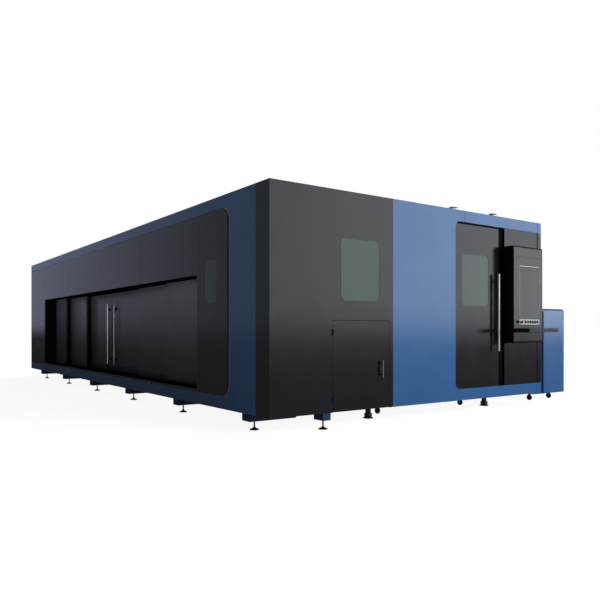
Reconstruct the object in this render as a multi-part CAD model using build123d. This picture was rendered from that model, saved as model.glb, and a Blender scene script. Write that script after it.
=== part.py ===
from build123d import *
import os
from math import floor

os.makedirs("parts", exist_ok=True)

# A fully enclosed fiber laser cutting machine with a telescopic side doorway, in millimetres.
# While it is drawn, x runs right along the front, y runs back and z runs up. Its zero is the near left corner
# of the enclosure, at the lower edge of the covers. PLACE then moves it to the middle of its footprint.

# Driving sizes of the enclosure
LENGTH = 9500
WIDTH = 4190
HEIGHT = 2200
FLOOR_GAP = 160
SHEET = 3
COVER_DEPTH = 40
FRONT_DEPTH = 60
SLIM_DEPTH = 12
TUBE = 60
SEAM = 0.8
PANEL_JOINT = 5
FIT = 0.3
HEADER_HEIGHT = 132
HEADER_LOW = HEIGHT - HEADER_HEIGHT
SKIRT_TOP = 132

# Front wall
CORNER_WRAP = 242
DARK_FRONT_WIDTH = 1550
WINDOW_LEFT, WINDOW_RIGHT_GAP, WINDOW_LOW, WINDOW_TOP = 841, 196, 1104, 1732
WINDOW_RIGHT = DARK_FRONT_WIDTH - WINDOW_RIGHT_GAP
WINDOW_RADIUS = 60
PANE = 6
PANE_SET_BACK = 1
SERVICE_LEFT, SERVICE_RIGHT_GAP, SERVICE_TOP = 736, 48, 910
SERVICE_RIGHT = DARK_FRONT_WIDTH - SERVICE_RIGHT_GAP
SERVICE_DEPTH = 25
SERVICE_GAP = 3
DOORWAY_LEFT = 2534
DOORWAY_RADIUS = 70
HEADER_SEAM = 2693
RIGHT_WRAP = 73

# Posts behind the covers
FRONT_POST_GAP = 10
RIGHT_POST_COUNT = 6
ROOF_PANEL_COUNT, RIGHT_PANEL_COUNT, BACK_PANEL_COUNT = 5, 5, 3

# Hinges and handle of the service door
HINGE_Y, HINGE_RADIUS, HINGE_PIN, HINGE_CLEARANCE = -6, 5.5, 2.5, 0.05
HINGE_LENGTH, HINGE_LEAF, HINGE_NECK, HINGE_PLATE = 60, 24, 4, 2
HINGE_HEIGHTS = (130, 790)
HINGE_X = SERVICE_LEFT + SERVICE_GAP / 2
SERVICE_PULL_EDGE, SERVICE_PULL_LOW, SERVICE_PULL_TOP = 128, 322, 500
SERVICE_PULL_X = SERVICE_RIGHT - SERVICE_PULL_EDGE
SERVICE_PULL_RADIUS, SERVICE_PULL_STANDS, SERVICE_PULL_INSET = 10, 32, 30

# Front sliding door
LEAF_SET_BACK = 15
LEAF_THICKNESS = 35
LEAF_OVERLAP = 20
LEAF_RIGHT = 3334
LEAF_TOP_GAP = 20
DOOR_TRAVEL = 700
DOOR_WINDOW_LEFT, DOOR_WINDOW_RIGHT = 2654, 3145
DOOR_WINDOW_LOW, DOOR_WINDOW_TOP = 1096, 1704
POST_RIGHT = 3438
POST_SET_BACK = 30
RIGHT_PANEL_SET_BACK = 5
DOOR_PULL_X, DOOR_PULL_LOW, DOOR_PULL_TOP = 3265, 558, 1492
DOOR_PULL_RADIUS, DOOR_PULL_STANDS, DOOR_PULL_INSET = 14, 56, 90
STAND_OFF_RATIO = 0.7

# Guide strips of the sliding leaves and the slots that they run in
STRIP = 8
STRIP_HEIGHT = 40
TRACK_LAP = 5

# Telescopic doors of the long side, three leaves each way from the seam
OPENING_NEAR, OPENING_FAR, OPENING_LOW, OPENING_TOP = 1485, 8310, 160, 1420
SEAM_Y = 5480
SIDE_LEAF_WIDTH = 1469
SIDE_LEAF_THICKNESS = 35
FIRST_LEAF_DEPTH = 220
LEAF_PITCH = 100
NEAR_LEAF_EDGES = (2820, 4041, SEAM_Y)
FAR_LEAF_EDGES = (7605, 6642, SEAM_Y)
TRACK_NEAR = 140
SILL_THICKNESS = 3
LINTEL_RISE = 20
TRACK_MARGIN, TRACK_RAIL_HEIGHT, TRACK_PLATE = 20, 50, 12
GUIDE_DROP, GUIDE_HEIGHT, GUIDE_LEG = 20, 40, 12
SIDE_PULL_OFFSET, SIDE_PULL_LOW, SIDE_PULL_TOP = 162, 247, 1252
SIDE_PULL_STANDS, SIDE_PULL_THICKNESS, SIDE_PULL_WIDTH, SIDE_PULL_RADIUS = 44, 16, 34, 5
SIDE_STAND_WIDTH, SIDE_STAND_HEIGHT, SIDE_STAND_INSET = 18, 40, 70
LOCK_RADIUS, LOCK_STANDS, LOCK_OFFSET, LOCK_Z = 15, 12, 30, 415

# Left cover
BLUE_COLUMN_BACK = 735
LEFT_PANEL_NEAR = 790
LEFT_CORNER_RADIUS = 150
LEFT_WINDOW_NEAR, LEFT_WINDOW_FAR, LEFT_WINDOW_LOW, LEFT_WINDOW_TOP = 1031, 1305, 1105, 1565
FIRST_PANEL_BACK = 1428
PANEL_PITCH = 1735
GASKET_SET_BACK = 8
GASKET_DEPTH = 14

# Bed, table and feet
GIRDER_WIDTH, GIRDER_HEIGHT, GIRDER_WALL = 200, 560, 12
LEFT_GIRDER_X, RIGHT_GIRDER_GAP = 1540, 660
RIGHT_GIRDER_X = WIDTH - RIGHT_GIRDER_GAP
BED_FRONT, BED_BACK = 300, LENGTH - 300
CROSS_WIDTH, CROSS_HEIGHT, CROSS_WALL = 120, 160, 8
FIRST_CROSS_Y, CROSS_FAR_GAP, CROSS_COUNT = 560, 990, 6
CROSS_PITCH = (LENGTH - CROSS_FAR_GAP - FIRST_CROSS_Y) / (CROSS_COUNT - 1)
FIRST_SIDE_FOOT_Y, FOOT_FAR_GAP, FOOT_COUNT, SIDE_FOOT_INSET = 420, 955, 6, 95
FOOT_PITCH = (LENGTH - FOOT_FAR_GAP - FIRST_SIDE_FOOT_Y) / (FOOT_COUNT - 1)
FRONT_FOOT_X, FRONT_FOOT_Y, FRONT_BLOCK_WIDTH = 664, 62, 96
BLOCK_WIDTH, BLOCK_HEIGHT, BLOCK_REACH, RIGHT_BLOCK_REACH = 150, 70, 540, 270
FIRST_BED_FOOT_Y = 385
PAD_RIM, PAD_DOME, PAD_TAPER, NECK_RATIO, NUT_RATIO = 8, 16, 0.86, 1.2, 1.5
HEAVY_STEM, HEAVY_PAD, HEAVY_PLATE = 31, 56, (150, 110, 10)
LIGHT_STEM, LIGHT_PAD = 8, 46
RAIL_WIDTH, RAIL_HEIGHT = 30, 26
RACK_SIZE, RACK_DROP = 30, 20
SLAT_PITCH, SLAT_SHEET, SLAT_HEIGHT, TOOTH_PITCH, TOOTH_HEIGHT = 150, 4, 110, 70, 35
TABLE_NEAR, TABLE_FAR_GAP = 1640, 1540
TABLE_FAR = LENGTH - TABLE_FAR_GAP
LEDGE_Z, LEDGE_SIZE, LEDGE_SHEET = 460, 60, 8
SLAT_END_GAP = 5
SLAG_TRAY_HEIGHT, SLAG_TRAY_SIDE_GAP = 100, 20

# Gantry, carriage and cutting head
GANTRY_Y = 1500
TRUCK_LENGTH, TRUCK_HEIGHT, TRUCK_INSET, TRUCK_STEP, TRUCK_GAP = 440, 160, 10, 14, 8
BEARING_LENGTH, BEARING_WIDTH = 120, 90
BEAM_DEPTH, BEAM_HEIGHT, BEAM_WALL = 220, 280, 8
BEAM_RAIL_WIDTH, BEAM_RAIL_HEIGHT, BEAM_RAIL_INSET, BEAM_RAIL_END = 24, 20, 50, 20
DRIVE_RADIUS, DRIVE_HEIGHT, DRIVE_SHIFT, DRIVE_INSET = 45, 150, 20, 60
CARRIAGE_X, CARRIAGE_WIDTH, CARRIAGE_THICKNESS = 1960, 300, 40
CARRIAGE_LIFT, CARRIAGE_RISE, CARRIAGE_STAND = 10, 20, 10
CARRIAGE_BLOCK, CARRIAGE_BLOCK_LIP, CARRIAGE_BLOCK_GAP = 70, 16, 6
SLIDE_WIDTH, SLIDE_HEIGHT, SLIDE_INSET = 24, 14, 30
CARRIAGE_DRIVE_RADIUS, CARRIAGE_DRIVE_HEIGHT = 42, 140
HEAD_WIDTH, HEAD_THICKNESS, HEAD_HEIGHT, HEAD_DROP = 180, 50, 420, 30
SLIDER_OFFSET, SLIDER_HALF, SLIDER_INSET = 120, 18, 60
COLLIMATOR_RADIUS, COLLIMATOR_HEIGHT, COLLIMATOR_OUT = 48, 240, 50
BRACKET_HALF, BRACKET_INSET = 35, 40
FOCUS_RADIUS, FOCUS_HEIGHT = 30, 90
NECK_RADIUS, NECK_HEIGHT = 26, 60
NOZZLE_RADIUS, NOZZLE_TIP_RADIUS, NOZZLE_HEIGHT = 22, 6, 40
NOZZLE_CLEARANCE = 110

# Laser source
SOURCE_LEFT, SOURCE_RIGHT, SOURCE_FRONT, SOURCE_BACK, SOURCE_TOP = 640, 1380, 420, 1200, 780
SOURCE_RADIUS, DRAWER_RECESS, DRAWER_MARGIN = 12, 6, 30
FIRST_DRAWER, DRAWER_PITCH, DRAWER_HEIGHT, DRAWER_COUNT = 120, 190, 150, 3

# Operator console
CONSOLE_LEFT, CONSOLE_RIGHT, CONSOLE_LOW, CONSOLE_TOP, CONSOLE_FRONT = 3430, 4015, 656, 1844, 137
CONSOLE_RADIUS = 26
CONSOLE_LINE_Z, CONSOLE_LINE_HEIGHT, CONSOLE_LINE_LEFT, CONSOLE_LINE_RIGHT = 1708, 5, 3480, 3961
SCREEN_LEFT, SCREEN_RIGHT, SCREEN_LOW, SCREEN_TOP = 3541, 3939, 952, 1600
SCREEN_THICKNESS = 8
PLATE_LEFT, PLATE_RIGHT, PLATE_LOW, PLATE_TOP = 3536, 3947, 882, 946
PLATE_THICKNESS = 4
BUTTON_RADIUS, BUTTON_STANDS, BUTTON_TRAVEL = 13, 8, 4
FIRST_BUTTON_X, BUTTON_PITCH, BUTTON_COUNT = 3662, 49, 6
STOP_X, STOP_RADIUS, STOP_STANDS, STOP_TRAVEL = 3578, 20, 30, 6
STOP_CAP, STOP_EDGE, COLLAR_RADIUS = 12, 5, 12
KNOB_X, KNOB_RADIUS, KNOB_STANDS = 3507, 15, 22
GRIP_HEIGHT, GRIP_HALF, GRIP_INSET = 10, 4, 1
CAP_EDGE = 1.5
SHAFT_RADIUS, SHAFT_RIM, SHAFT_RIM_DEPTH = 8, 3, 3
TRAY_TOP, TRAY_THICKNESS, TRAY_FRONT, TRAY_RIGHT = 835, 46, 350, 4040
TRAY_PIN_RADIUS, TRAY_EAR, TRAY_EAR_RADIUS, TRAY_EAR_INSET = 5, 14, 10, 60
TRAY_SWING_GAP = 1
TRAY_CORNER = 12

# Cooler cabinet beside the machine
COOLER_GAP, COOLER_WIDTH, COOLER_FRONT, COOLER_DEPTH = 240, 738, 260, 950
COOLER_LEFT = WIDTH + COOLER_GAP
COOLER_RIGHT = COOLER_LEFT + COOLER_WIDTH
COOLER_LOW, COOLER_TOP, COOLER_RADIUS, COOLER_TOP_RADIUS = -60, 1110, 45, 38
CASTER_INSET_X, CASTER_INSET_Y = 140, 150
FIRST_LOUVRE, LOUVRE_PITCH, LOUVRE_HEIGHT, LOUVRE_COUNT, LOUVRE_INSET = 160, 30, 12, 14, 125

# Casters
WHEEL_RADIUS, WHEEL_WIDTH, CASTER_TRAIL = 38, 26, 22
CASTER_PLATE, PLATE_SIDE, CROWN, CROWN_RADIUS = 5, 70, 8, 26
AXLE_RADIUS, KING_PIN_RADIUS, RUNNING_CLEARANCE = 4, 6, 0.05
CHEEK, CHEEK_GAP, CHEEK_HALF, CHEEK_FRONT = 3, 1, 12, 14
TREAD_EDGE, PIN_END_GAP = 6, 1
BED_CASTER_LIFT, BED_CASTER_ROOM = 2, 10
LEFT_CASTER_GAP, RIGHT_CASTER_GAP = 320, 233
BED_CASTERS_X = (LEFT_GIRDER_X + LEFT_CASTER_GAP, RIGHT_GIRDER_X - RIGHT_CASTER_GAP)

# Back wall spigots for the dust extraction
SPIGOT_RADIUS, SPIGOT_LENGTH, SPIGOT_WALL, SPIGOT_FLANGE = 125, 60, 3, 30
SPIGOT_Z, SPIGOT_OFFSET = 420, 300
GLAND_X, GLAND_Z, GLAND_RADIUS, GLAND_LENGTH = 3700, 300, 24, 30

# Roof lugs
LUG_WIDTH, LUG_HEIGHT, LUG_SHEET, LUG_BASE, LUG_LENGTH = 140, 45, 6, 50, 50
LUG_Y = 66
FIRST_LUG_X, SECOND_LUG_X = 2513, 3237

FRAME = COVER_DEPTH
TOP_BEAM_LOW = HEIGHT - COVER_DEPTH - TUBE
CENTRE_X = COOLER_RIGHT / 2
CENTRE_Y = (LENGTH + SPIGOT_LENGTH - TRAY_FRONT) / 2
PLACE = Pos(-CENTRE_X, -CENTRE_Y, FLOOR_GAP)

FRONT = Plane.XZ
LEFT = Plane.YZ
RIGHT = Plane.YZ.offset(WIDTH)
BACK = Plane.XZ.offset(-LENGTH)
ROOF = Plane.XY.offset(HEIGHT)


def save(name, *shapes):
    """Move the shapes into the part's own frame and write them as one sub-part."""
    solids = [PLACE * solid for shape in shapes for solid in shape.solids()]
    group = Compound(solids)
    group.label = name
    export_step(group, f"parts/{name}.step")


def slab(x0, x1, y0, y1, z0, z1):
    """A box between two corners."""
    middle = Pos((x0 + x1) / 2, (y0 + y1) / 2, (z0 + z1) / 2)
    return middle * Box(x1 - x0, y1 - y0, z1 - z0)


def post(x, y, z0, z1, radius):
    """An upright cylinder."""
    return Pos(x, y, (z0 + z1) / 2) * Cylinder(radius, z1 - z0)


def bar_x(x0, x1, y, z, radius):
    """A round bar along x."""
    return Pos((x0 + x1) / 2, y, z) * Rot(0, 90, 0) * Cylinder(radius, x1 - x0)


def bar_y(x, y0, y1, z, radius):
    """A round bar along y."""
    return Pos(x, (y0 + y1) / 2, z) * Rot(90, 0, 0) * Cylinder(radius, y1 - y0)


def patch(a0, a1, b0, b1, radius=0):
    """A flat rectangle in a wall's own two directions, with round corners where radius is given."""
    middle = Pos((a0 + a1) / 2, (b0 + b1) / 2)
    if radius > 0:
        return middle * RectangleRounded(a1 - a0, b1 - b0, radius)
    return middle * Rectangle(a1 - a0, b1 - b0)


def cover(plane, into, rim, holes=(), depth=COVER_DEPTH, radius=0):
    """A folded sheet cover: a flat face whose edges, and the edges of its holes, are turned into the wall."""

    def face(inset):
        a0, a1, b0, b1 = rim
        corner = max(radius - inset, 0)
        sketch = patch(a0 + inset, a1 - inset, b0 + inset, b1 - inset, corner)
        for h0, h1, g0, g1, hole_radius in holes:
            grown = hole_radius + inset if hole_radius else 0
            sketch -= patch(h0 - inset, h1 + inset, g0 - inset, g1 + inset, grown)
        return sketch

    outside = extrude(plane * face(0), into * depth)
    inside = extrude(plane.offset(into * SHEET) * face(SHEET), into * depth)
    return outside - inside


def tube_x(x0, x1, y0, z0, size=TUBE):
    return slab(x0, x1, y0, y0 + size, z0, z0 + size)


def tube_y(y0, y1, x0, z0, size=TUBE):
    return slab(x0, x0 + size, y0, y1, z0, z0 + size)


def tube_z(z0, z1, x0, y0, size=TUBE):
    return slab(x0, x0 + size, y0, y0 + size, z0, z1)


def steps(start, pitch, count):
    return [start + pitch * i for i in range(count)]


def welded(bars):
    """Bars cut back where an earlier one runs, so that they meet face to face."""
    pieces = []
    for bar in bars:
        for other in list(pieces):
            bar -= other
        pieces.extend(bar.solids())
    return pieces


BACK_SEAMS = steps(COVER_DEPTH, (WIDTH - 2 * COVER_DEPTH) / BACK_PANEL_COUNT, BACK_PANEL_COUNT + 1)
ROOF_PITCH = (LENGTH - COVER_DEPTH - FRONT_DEPTH) / ROOF_PANEL_COUNT
ROOF_SEAMS = steps(FRONT_DEPTH, ROOF_PITCH, ROOF_PANEL_COUNT + 1)
SIDE_FEET_Y = steps(FIRST_SIDE_FOOT_Y, FOOT_PITCH, FOOT_COUNT)
BED_FEET_Y = steps(FIRST_BED_FOOT_Y, FOOT_PITCH, FOOT_COUNT)
CROSS_Y = steps(FIRST_CROSS_Y, CROSS_PITCH, CROSS_COUNT)
GIRDERS_X = (LEFT_GIRDER_X, RIGHT_GIRDER_X)
GIRDER_HALF = GIRDER_WIDTH / 2


def bed_frame():
    """Two box girders joined by box cross beams."""
    frame = []
    for x in GIRDERS_X:
        half, w = GIRDER_HALF, GIRDER_WALL
        girder = slab(x - half, x + half, BED_FRONT, BED_BACK, 0, GIRDER_HEIGHT)
        half -= w
        frame.append(girder - slab(x - half, x + half, BED_FRONT + w, BED_BACK - w, w, GIRDER_HEIGHT - w))
    x0, x1 = LEFT_GIRDER_X + GIRDER_HALF, RIGHT_GIRDER_X - GIRDER_HALF
    for y in CROSS_Y:
        half, w = CROSS_WIDTH / 2, CROSS_WALL
        beam = slab(x0, x1, y - half, y + half, 0, CROSS_HEIGHT)
        frame.append(beam - slab(x0, x1, y - half + w, y + half - w, w, CROSS_HEIGHT - w))
    return frame


def levelling_foot(x, y, top, stem, pad, plate=None):
    """A screwed foot with a domed pad, and a top plate on the heavy ones."""
    rim_top = PAD_RIM - FLOOR_GAP
    dome_top = rim_top + PAD_DOME
    foot = post(x, y, -FLOOR_GAP, rim_top, pad)
    foot += Pos(x, y, rim_top + PAD_DOME / 2) * Cone(pad * PAD_TAPER, stem * NECK_RATIO, PAD_DOME)
    foot += post(x, y, dome_top, top, stem)
    foot += Pos(x, y, dome_top) * extrude(RegularPolygon(stem * NUT_RATIO, 6), stem)
    if plate:
        length, width, thickness = plate
        foot += slab(x - length / 2, x + length / 2, y - width / 2, y + width / 2, top - thickness, top)
    return foot


def machine_feet():
    places = [(x, y) for x in GIRDERS_X for y in BED_FEET_Y]
    return [levelling_foot(x, y, 0, HEAVY_STEM, HEAVY_PAD, HEAVY_PLATE) for x, y in places]


def side_feet():
    """The light feet along both sides and the one at the front, each under its block."""
    places = [(SIDE_FOOT_INSET, y) for y in SIDE_FEET_Y]
    places += [(WIDTH - SIDE_FOOT_INSET, y) for y in SIDE_FEET_Y[1:]]
    places.append((FRONT_FOOT_X, FRONT_FOOT_Y))
    return [levelling_foot(x, y, -BLOCK_HEIGHT, LIGHT_STEM, LIGHT_PAD) for x, y in places]


def base_frame():
    """The welded base of the enclosure, with the blocks that its feet screw into."""
    near, far = FRONT_DEPTH, LENGTH - COVER_DEPTH
    left, right = FRAME, WIDTH - FRAME
    bed_left, bed_right = LEFT_GIRDER_X - GIRDER_HALF, RIGHT_GIRDER_X + GIRDER_HALF
    half = BLOCK_WIDTH / 2
    bars = [tube_y(near, far, left, 0), tube_y(near, far, right - TUBE, 0)]
    bars += [tube_x(left, right, near, 0), tube_x(left, right, far - TUBE, 0)]
    bars += [tube_y(near, far, BLOCK_REACH - TUBE, 0), tube_x(left, bed_left, SOURCE_BACK - TUBE, 0)]
    bars += [tube_x(left, bed_left, y - TUBE / 2, 0) for y in SIDE_FEET_Y]
    bars += [tube_x(bed_right, right, y - TUBE / 2, 0) for y in SIDE_FEET_Y[1:]]
    blocks = [(0, BLOCK_REACH, y) for y in SIDE_FEET_Y]
    blocks += [(WIDTH - RIGHT_BLOCK_REACH, WIDTH, y) for y in SIDE_FEET_Y[1:]]
    front_half = FRONT_BLOCK_WIDTH / 2
    blocks.append((FRONT_FOOT_X - front_half, FRONT_FOOT_X + front_half, half))
    return welded(bars) + [slab(x0, x1, y - half, y + half, -BLOCK_HEIGHT, 0) for x0, x1, y in blocks]


def enclosure_frame():
    """Posts and top beams that the covers hang on."""
    near, far = FRONT_DEPTH, LENGTH - COVER_DEPTH
    left, right = FRAME, WIDTH - FRAME
    bars = [tube_y(near, far, left, TOP_BEAM_LOW), tube_y(near, far, right - TUBE, TOP_BEAM_LOW)]
    bars += [tube_x(left, right, near, TOP_BEAM_LOW), tube_x(left, right, far - TUBE, TOP_BEAM_LOW)]
    bars += [tube_x(left, right, y - TUBE / 2, TOP_BEAM_LOW) for y in ROOF_SEAMS[1:-1]]
    bars.append(tube_y(near, far, left, OPENING_TOP + LINTEL_RISE))
    left_posts = (near, FIRST_PANEL_BACK - TUBE, OPENING_FAR + TUBE, far - TUBE)
    bars += [tube_z(TUBE, TOP_BEAM_LOW, left, y) for y in left_posts]
    right_posts = steps(near, (far - near - TUBE) / (RIGHT_POST_COUNT - 1), RIGHT_POST_COUNT)
    bars += [tube_z(TUBE, TOP_BEAM_LOW, right - TUBE, y) for y in right_posts]
    front_posts = (DARK_FRONT_WIDTH + FRONT_POST_GAP, LEAF_RIGHT + LEAF_OVERLAP)
    bars += [tube_z(TUBE, TOP_BEAM_LOW, x, near) for x in front_posts]
    bars += [tube_z(TUBE, TOP_BEAM_LOW, x - TUBE / 2, far - TUBE) for x in BACK_SEAMS[1:-1]]
    return welded(bars)


SERVICE_HOLE = (SERVICE_LEFT, SERVICE_RIGHT, -FRONT_DEPTH, SERVICE_TOP, 0)
WINDOW_HOLE = (WINDOW_LEFT, WINDOW_RIGHT, WINDOW_LOW, WINDOW_TOP, WINDOW_RADIUS)
LEFT_WINDOW_HOLE = (LEFT_WINDOW_NEAR, LEFT_WINDOW_FAR, LEFT_WINDOW_LOW, LEFT_WINDOW_TOP, WINDOW_RADIUS)
DOOR_WINDOW_HOLE = (DOOR_WINDOW_LEFT, DOOR_WINDOW_RIGHT, DOOR_WINDOW_LOW, DOOR_WINDOW_TOP, WINDOW_RADIUS)
OPENING = (OPENING_NEAR, OPENING_FAR, OPENING_LOW, OPENING_TOP, 0)


def front_left_panel():
    """The dark cover of the front, which turns round the near corner."""
    face = cover(FRONT, -1, (0, DARK_FRONT_WIDTH, 0, HEIGHT), (WINDOW_HOLE, SERVICE_HOLE), FRONT_DEPTH)
    wrap = cover(LEFT, 1, (0, CORNER_WRAP, 0, HEIGHT))
    return face + wrap


def pane(plane, into, hole, start):
    """A window pane that fills its hole, set back from the face."""
    a0, a1, b0, b1, radius = hole
    sketch = patch(a0 + FIT, a1 - FIT, b0 + FIT, b1 - FIT, radius - FIT)
    return extrude(plane.offset(into * start) * sketch, into * PANE)


def front_surround():
    """The blue column, and its header and skirt over and under the doorway."""
    right = WIDTH - RIGHT_WRAP
    doorway = (DOORWAY_LEFT, WIDTH + HEIGHT, SKIRT_TOP, HEADER_LOW, DOORWAY_RADIUS)
    header_cut = (HEADER_SEAM, WIDTH + HEIGHT, SKIRT_TOP + HEIGHT / 2, HEIGHT * 2, 0)
    whole = cover(FRONT, -1, (DARK_FRONT_WIDTH, right, 0, HEIGHT), (doorway, header_cut), SLIM_DEPTH)
    column = slab(0, DOORWAY_LEFT, 0, SLIM_DEPTH, 0, HEIGHT)
    return [whole & column, whole - column]


def front_header():
    rim = (HEADER_SEAM + SEAM, WIDTH - RIGHT_WRAP - SEAM, HEADER_LOW, HEIGHT)
    return cover(FRONT, -1, rim, depth=SLIM_DEPTH)


LEAF_TOP = HEADER_LOW - LEAF_TOP_GAP
LEAF_LOW = SKIRT_TOP - LEAF_OVERLAP
LEAF_MIDDLE = LEAF_SET_BACK + LEAF_THICKNESS / 2
FRONT_TRACK_LEFT = DOORWAY_LEFT - LEAF_OVERLAP - DOOR_TRAVEL - FRONT_DEPTH


def front_door_frame():
    """The black post beside the door, with the top and bottom tracks."""
    x0, x1 = FRONT_TRACK_LEFT, POST_RIGHT
    y0, y1 = SLIM_DEPTH, FRONT_DEPTH
    slot0, slot1 = LEAF_MIDDLE - STRIP / 2 - FIT, LEAF_MIDDLE + STRIP / 2 + FIT
    track_low, guide_top = LEAF_TOP + TRACK_LAP, LEAF_LOW - TRACK_LAP
    track = slab(x0, x1, y0, y1, track_low, TOP_BEAM_LOW + TUBE)
    track -= slab(x0, x1, slot0, slot1, LEAF_TOP, LEAF_TOP + STRIP_HEIGHT + FIT)
    guide = slab(x0, x1, y0, y1, TUBE / 2, guide_top)
    guide -= slab(x0, x1, slot0, slot1, LEAF_LOW - STRIP_HEIGHT - FIT, LEAF_LOW)
    return [track, guide, slab(LEAF_RIGHT + TRACK_LAP, x1, POST_SET_BACK, y1, guide_top, track_low)]


def guided_leaf(plane, into, rim, holes, depth, middle):
    """A sliding leaf: a folded panel with a guide strip along its top and its lower edge."""
    a0, a1, b0, b1 = rim
    leaf = cover(plane, into, rim, holes, depth)
    strip_plane = plane.offset(into * (middle - STRIP / 2))
    for low, high in ((b1, b1 + STRIP_HEIGHT), (b0 - STRIP_HEIGHT, b0)):
        leaf += extrude(strip_plane * patch(a0, a1, low, high), into * STRIP)
    return leaf


def front_door():
    rim = (DOORWAY_LEFT - LEAF_OVERLAP, LEAF_RIGHT, LEAF_LOW, LEAF_TOP)
    plane = FRONT.offset(-LEAF_SET_BACK)
    return guided_leaf(plane, -1, rim, (DOOR_WINDOW_HOLE,), LEAF_THICKNESS, LEAF_THICKNESS / 2)


def pull_handle(x, stands, low, top, radius, inset):
    """A bar handle on two stand-offs, drawn against y = 0 and reaching towards -y."""
    handle = post(x, -stands, low, top, radius)
    for z in (low + inset, top - inset):
        handle += bar_y(x, -stands, 0, z, radius * STAND_OFF_RATIO)
    return handle


def front_door_handle():
    handle = pull_handle(
        DOOR_PULL_X, DOOR_PULL_STANDS, DOOR_PULL_LOW, DOOR_PULL_TOP, DOOR_PULL_RADIUS, DOOR_PULL_INSET
    )
    return Pos(0, LEAF_SET_BACK, 0) * handle


def front_right_panel():
    rim = (POST_RIGHT, WIDTH - RIGHT_WRAP - SEAM, SKIRT_TOP + SEAM, HEADER_LOW - SEAM)
    depth = FRONT_DEPTH - RIGHT_PANEL_SET_BACK
    return cover(FRONT.offset(-RIGHT_PANEL_SET_BACK), -1, rim, depth=depth)


def knuckle(z0, z1, side):
    """One knuckle with its leaf, which lies on the front face to one side of the pin."""
    x0, x1 = sorted((HINGE_X, HINGE_X + side * HINGE_LEAF))
    leaf = slab(x0, x1, -HINGE_NECK, 0, z0, z1)
    x2, x3 = sorted((HINGE_X + side * HINGE_LEAF / 3, HINGE_X + side * HINGE_LEAF))
    leaf -= slab(x2, x3, -HINGE_NECK, -HINGE_PLATE, z0, z1)
    return leaf + post(HINGE_X, HINGE_Y, z0, z1, HINGE_RADIUS)


def service_hinges():
    """The fixed halves of the two hinges, each with its pin."""
    pieces = []
    third = HINGE_LENGTH / 3
    for z in HINGE_HEIGHTS:
        low, top = z - HINGE_LENGTH / 2, z + HINGE_LENGTH / 2
        half = knuckle(low, low + third, -1) + knuckle(top - third, top, -1)
        pieces.append(half + post(HINGE_X, HINGE_Y, low, top, HINGE_PIN))
    return pieces


def service_door():
    """The flush door of the service compartment, with the moving knuckles of its hinges."""
    rim = (SERVICE_LEFT + SERVICE_GAP, SERVICE_RIGHT - SERVICE_GAP, SERVICE_GAP, SERVICE_TOP - SERVICE_GAP)
    door = cover(FRONT, -1, rim, depth=SERVICE_DEPTH)
    third = HINGE_LENGTH / 3
    for z in HINGE_HEIGHTS:
        low, top = z - third / 2 + FIT, z + third / 2 - FIT
        door += knuckle(low, top, 1) - post(HINGE_X, HINGE_Y, low, top, HINGE_PIN + HINGE_CLEARANCE)
    return door


def service_handle():
    return pull_handle(
        SERVICE_PULL_X,
        SERVICE_PULL_STANDS,
        SERVICE_PULL_LOW,
        SERVICE_PULL_TOP,
        SERVICE_PULL_RADIUS,
        SERVICE_PULL_INSET,
    )


def left_surround():
    """The blue column of the long side with its round corners, and the long header and skirt behind it."""
    hole = (BLUE_COLUMN_BACK, LENGTH * 2, SKIRT_TOP, HEADER_LOW, LEFT_CORNER_RADIUS)
    whole = cover(LEFT, 1, (CORNER_WRAP, LENGTH, 0, HEIGHT), (hole,))
    column = slab(0, COVER_DEPTH, 0, FIRST_PANEL_BACK, 0, HEIGHT)
    return [whole & column, whole - column]


def left_field(grow):
    """The outline of the dark field of the long side, grown by a margin."""
    y0, z0, z1 = LEFT_PANEL_NEAR - grow, SKIRT_TOP + SHEET - grow, HEADER_LOW - SHEET + grow
    return patch(y0, LENGTH * 2, z0, z1, LEFT_CORNER_RADIUS - GASKET_DEPTH + grow)


def left_panels():
    """The dark covers of the long side, with the doorway and a small window cut into them."""
    low, high = SKIRT_TOP + SHEET, HEADER_LOW - SHEET
    seams = [LEFT_PANEL_NEAR, FIRST_PANEL_BACK]
    seams += steps(FIRST_PANEL_BACK + PANEL_PITCH, PANEL_PITCH, 4) + [LENGTH]
    beside_doorway = slab(0, COVER_DEPTH, 0, LENGTH, OPENING_LOW, OPENING_TOP)
    panels = []
    for start, end in zip(seams, seams[1:]):
        first = start == LEFT_PANEL_NEAR
        holes = [LEFT_WINDOW_HOLE] if first else [OPENING]
        if first:
            far = end + LEFT_CORNER_RADIUS * 2
            tray = cover(LEFT, 1, (start, far, low, high), holes, radius=LEFT_CORNER_RADIUS - GASKET_DEPTH)
            tray &= slab(0, COVER_DEPTH, start, end, low, high)
            tray += slab(0, COVER_DEPTH, end - SHEET, end, low, high)
            panels.append(tray)
        else:
            tray = cover(LEFT, 1, (start + PANEL_JOINT, end, low, high), holes)
            whole_middle = start < OPENING_NEAR or start < OPENING_FAR < end
            panels += [tray - beside_doorway, tray & beside_doorway] if whole_middle else [tray]
    return panels


def left_gasket():
    """The dark strip between the blue frame and the dark field."""
    low, high, radius = SKIRT_TOP + FIT, HEADER_LOW - FIT, LEFT_CORNER_RADIUS - FIT
    hole = patch(BLUE_COLUMN_BACK + FIT, LENGTH * 2, low, high, radius)
    strip = extrude(LEFT.offset(GASKET_SET_BACK) * (hole - left_field(FIT)), GASKET_DEPTH)
    return strip & slab(0, COVER_DEPTH, 0, LENGTH, 0, HEIGHT)


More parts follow.
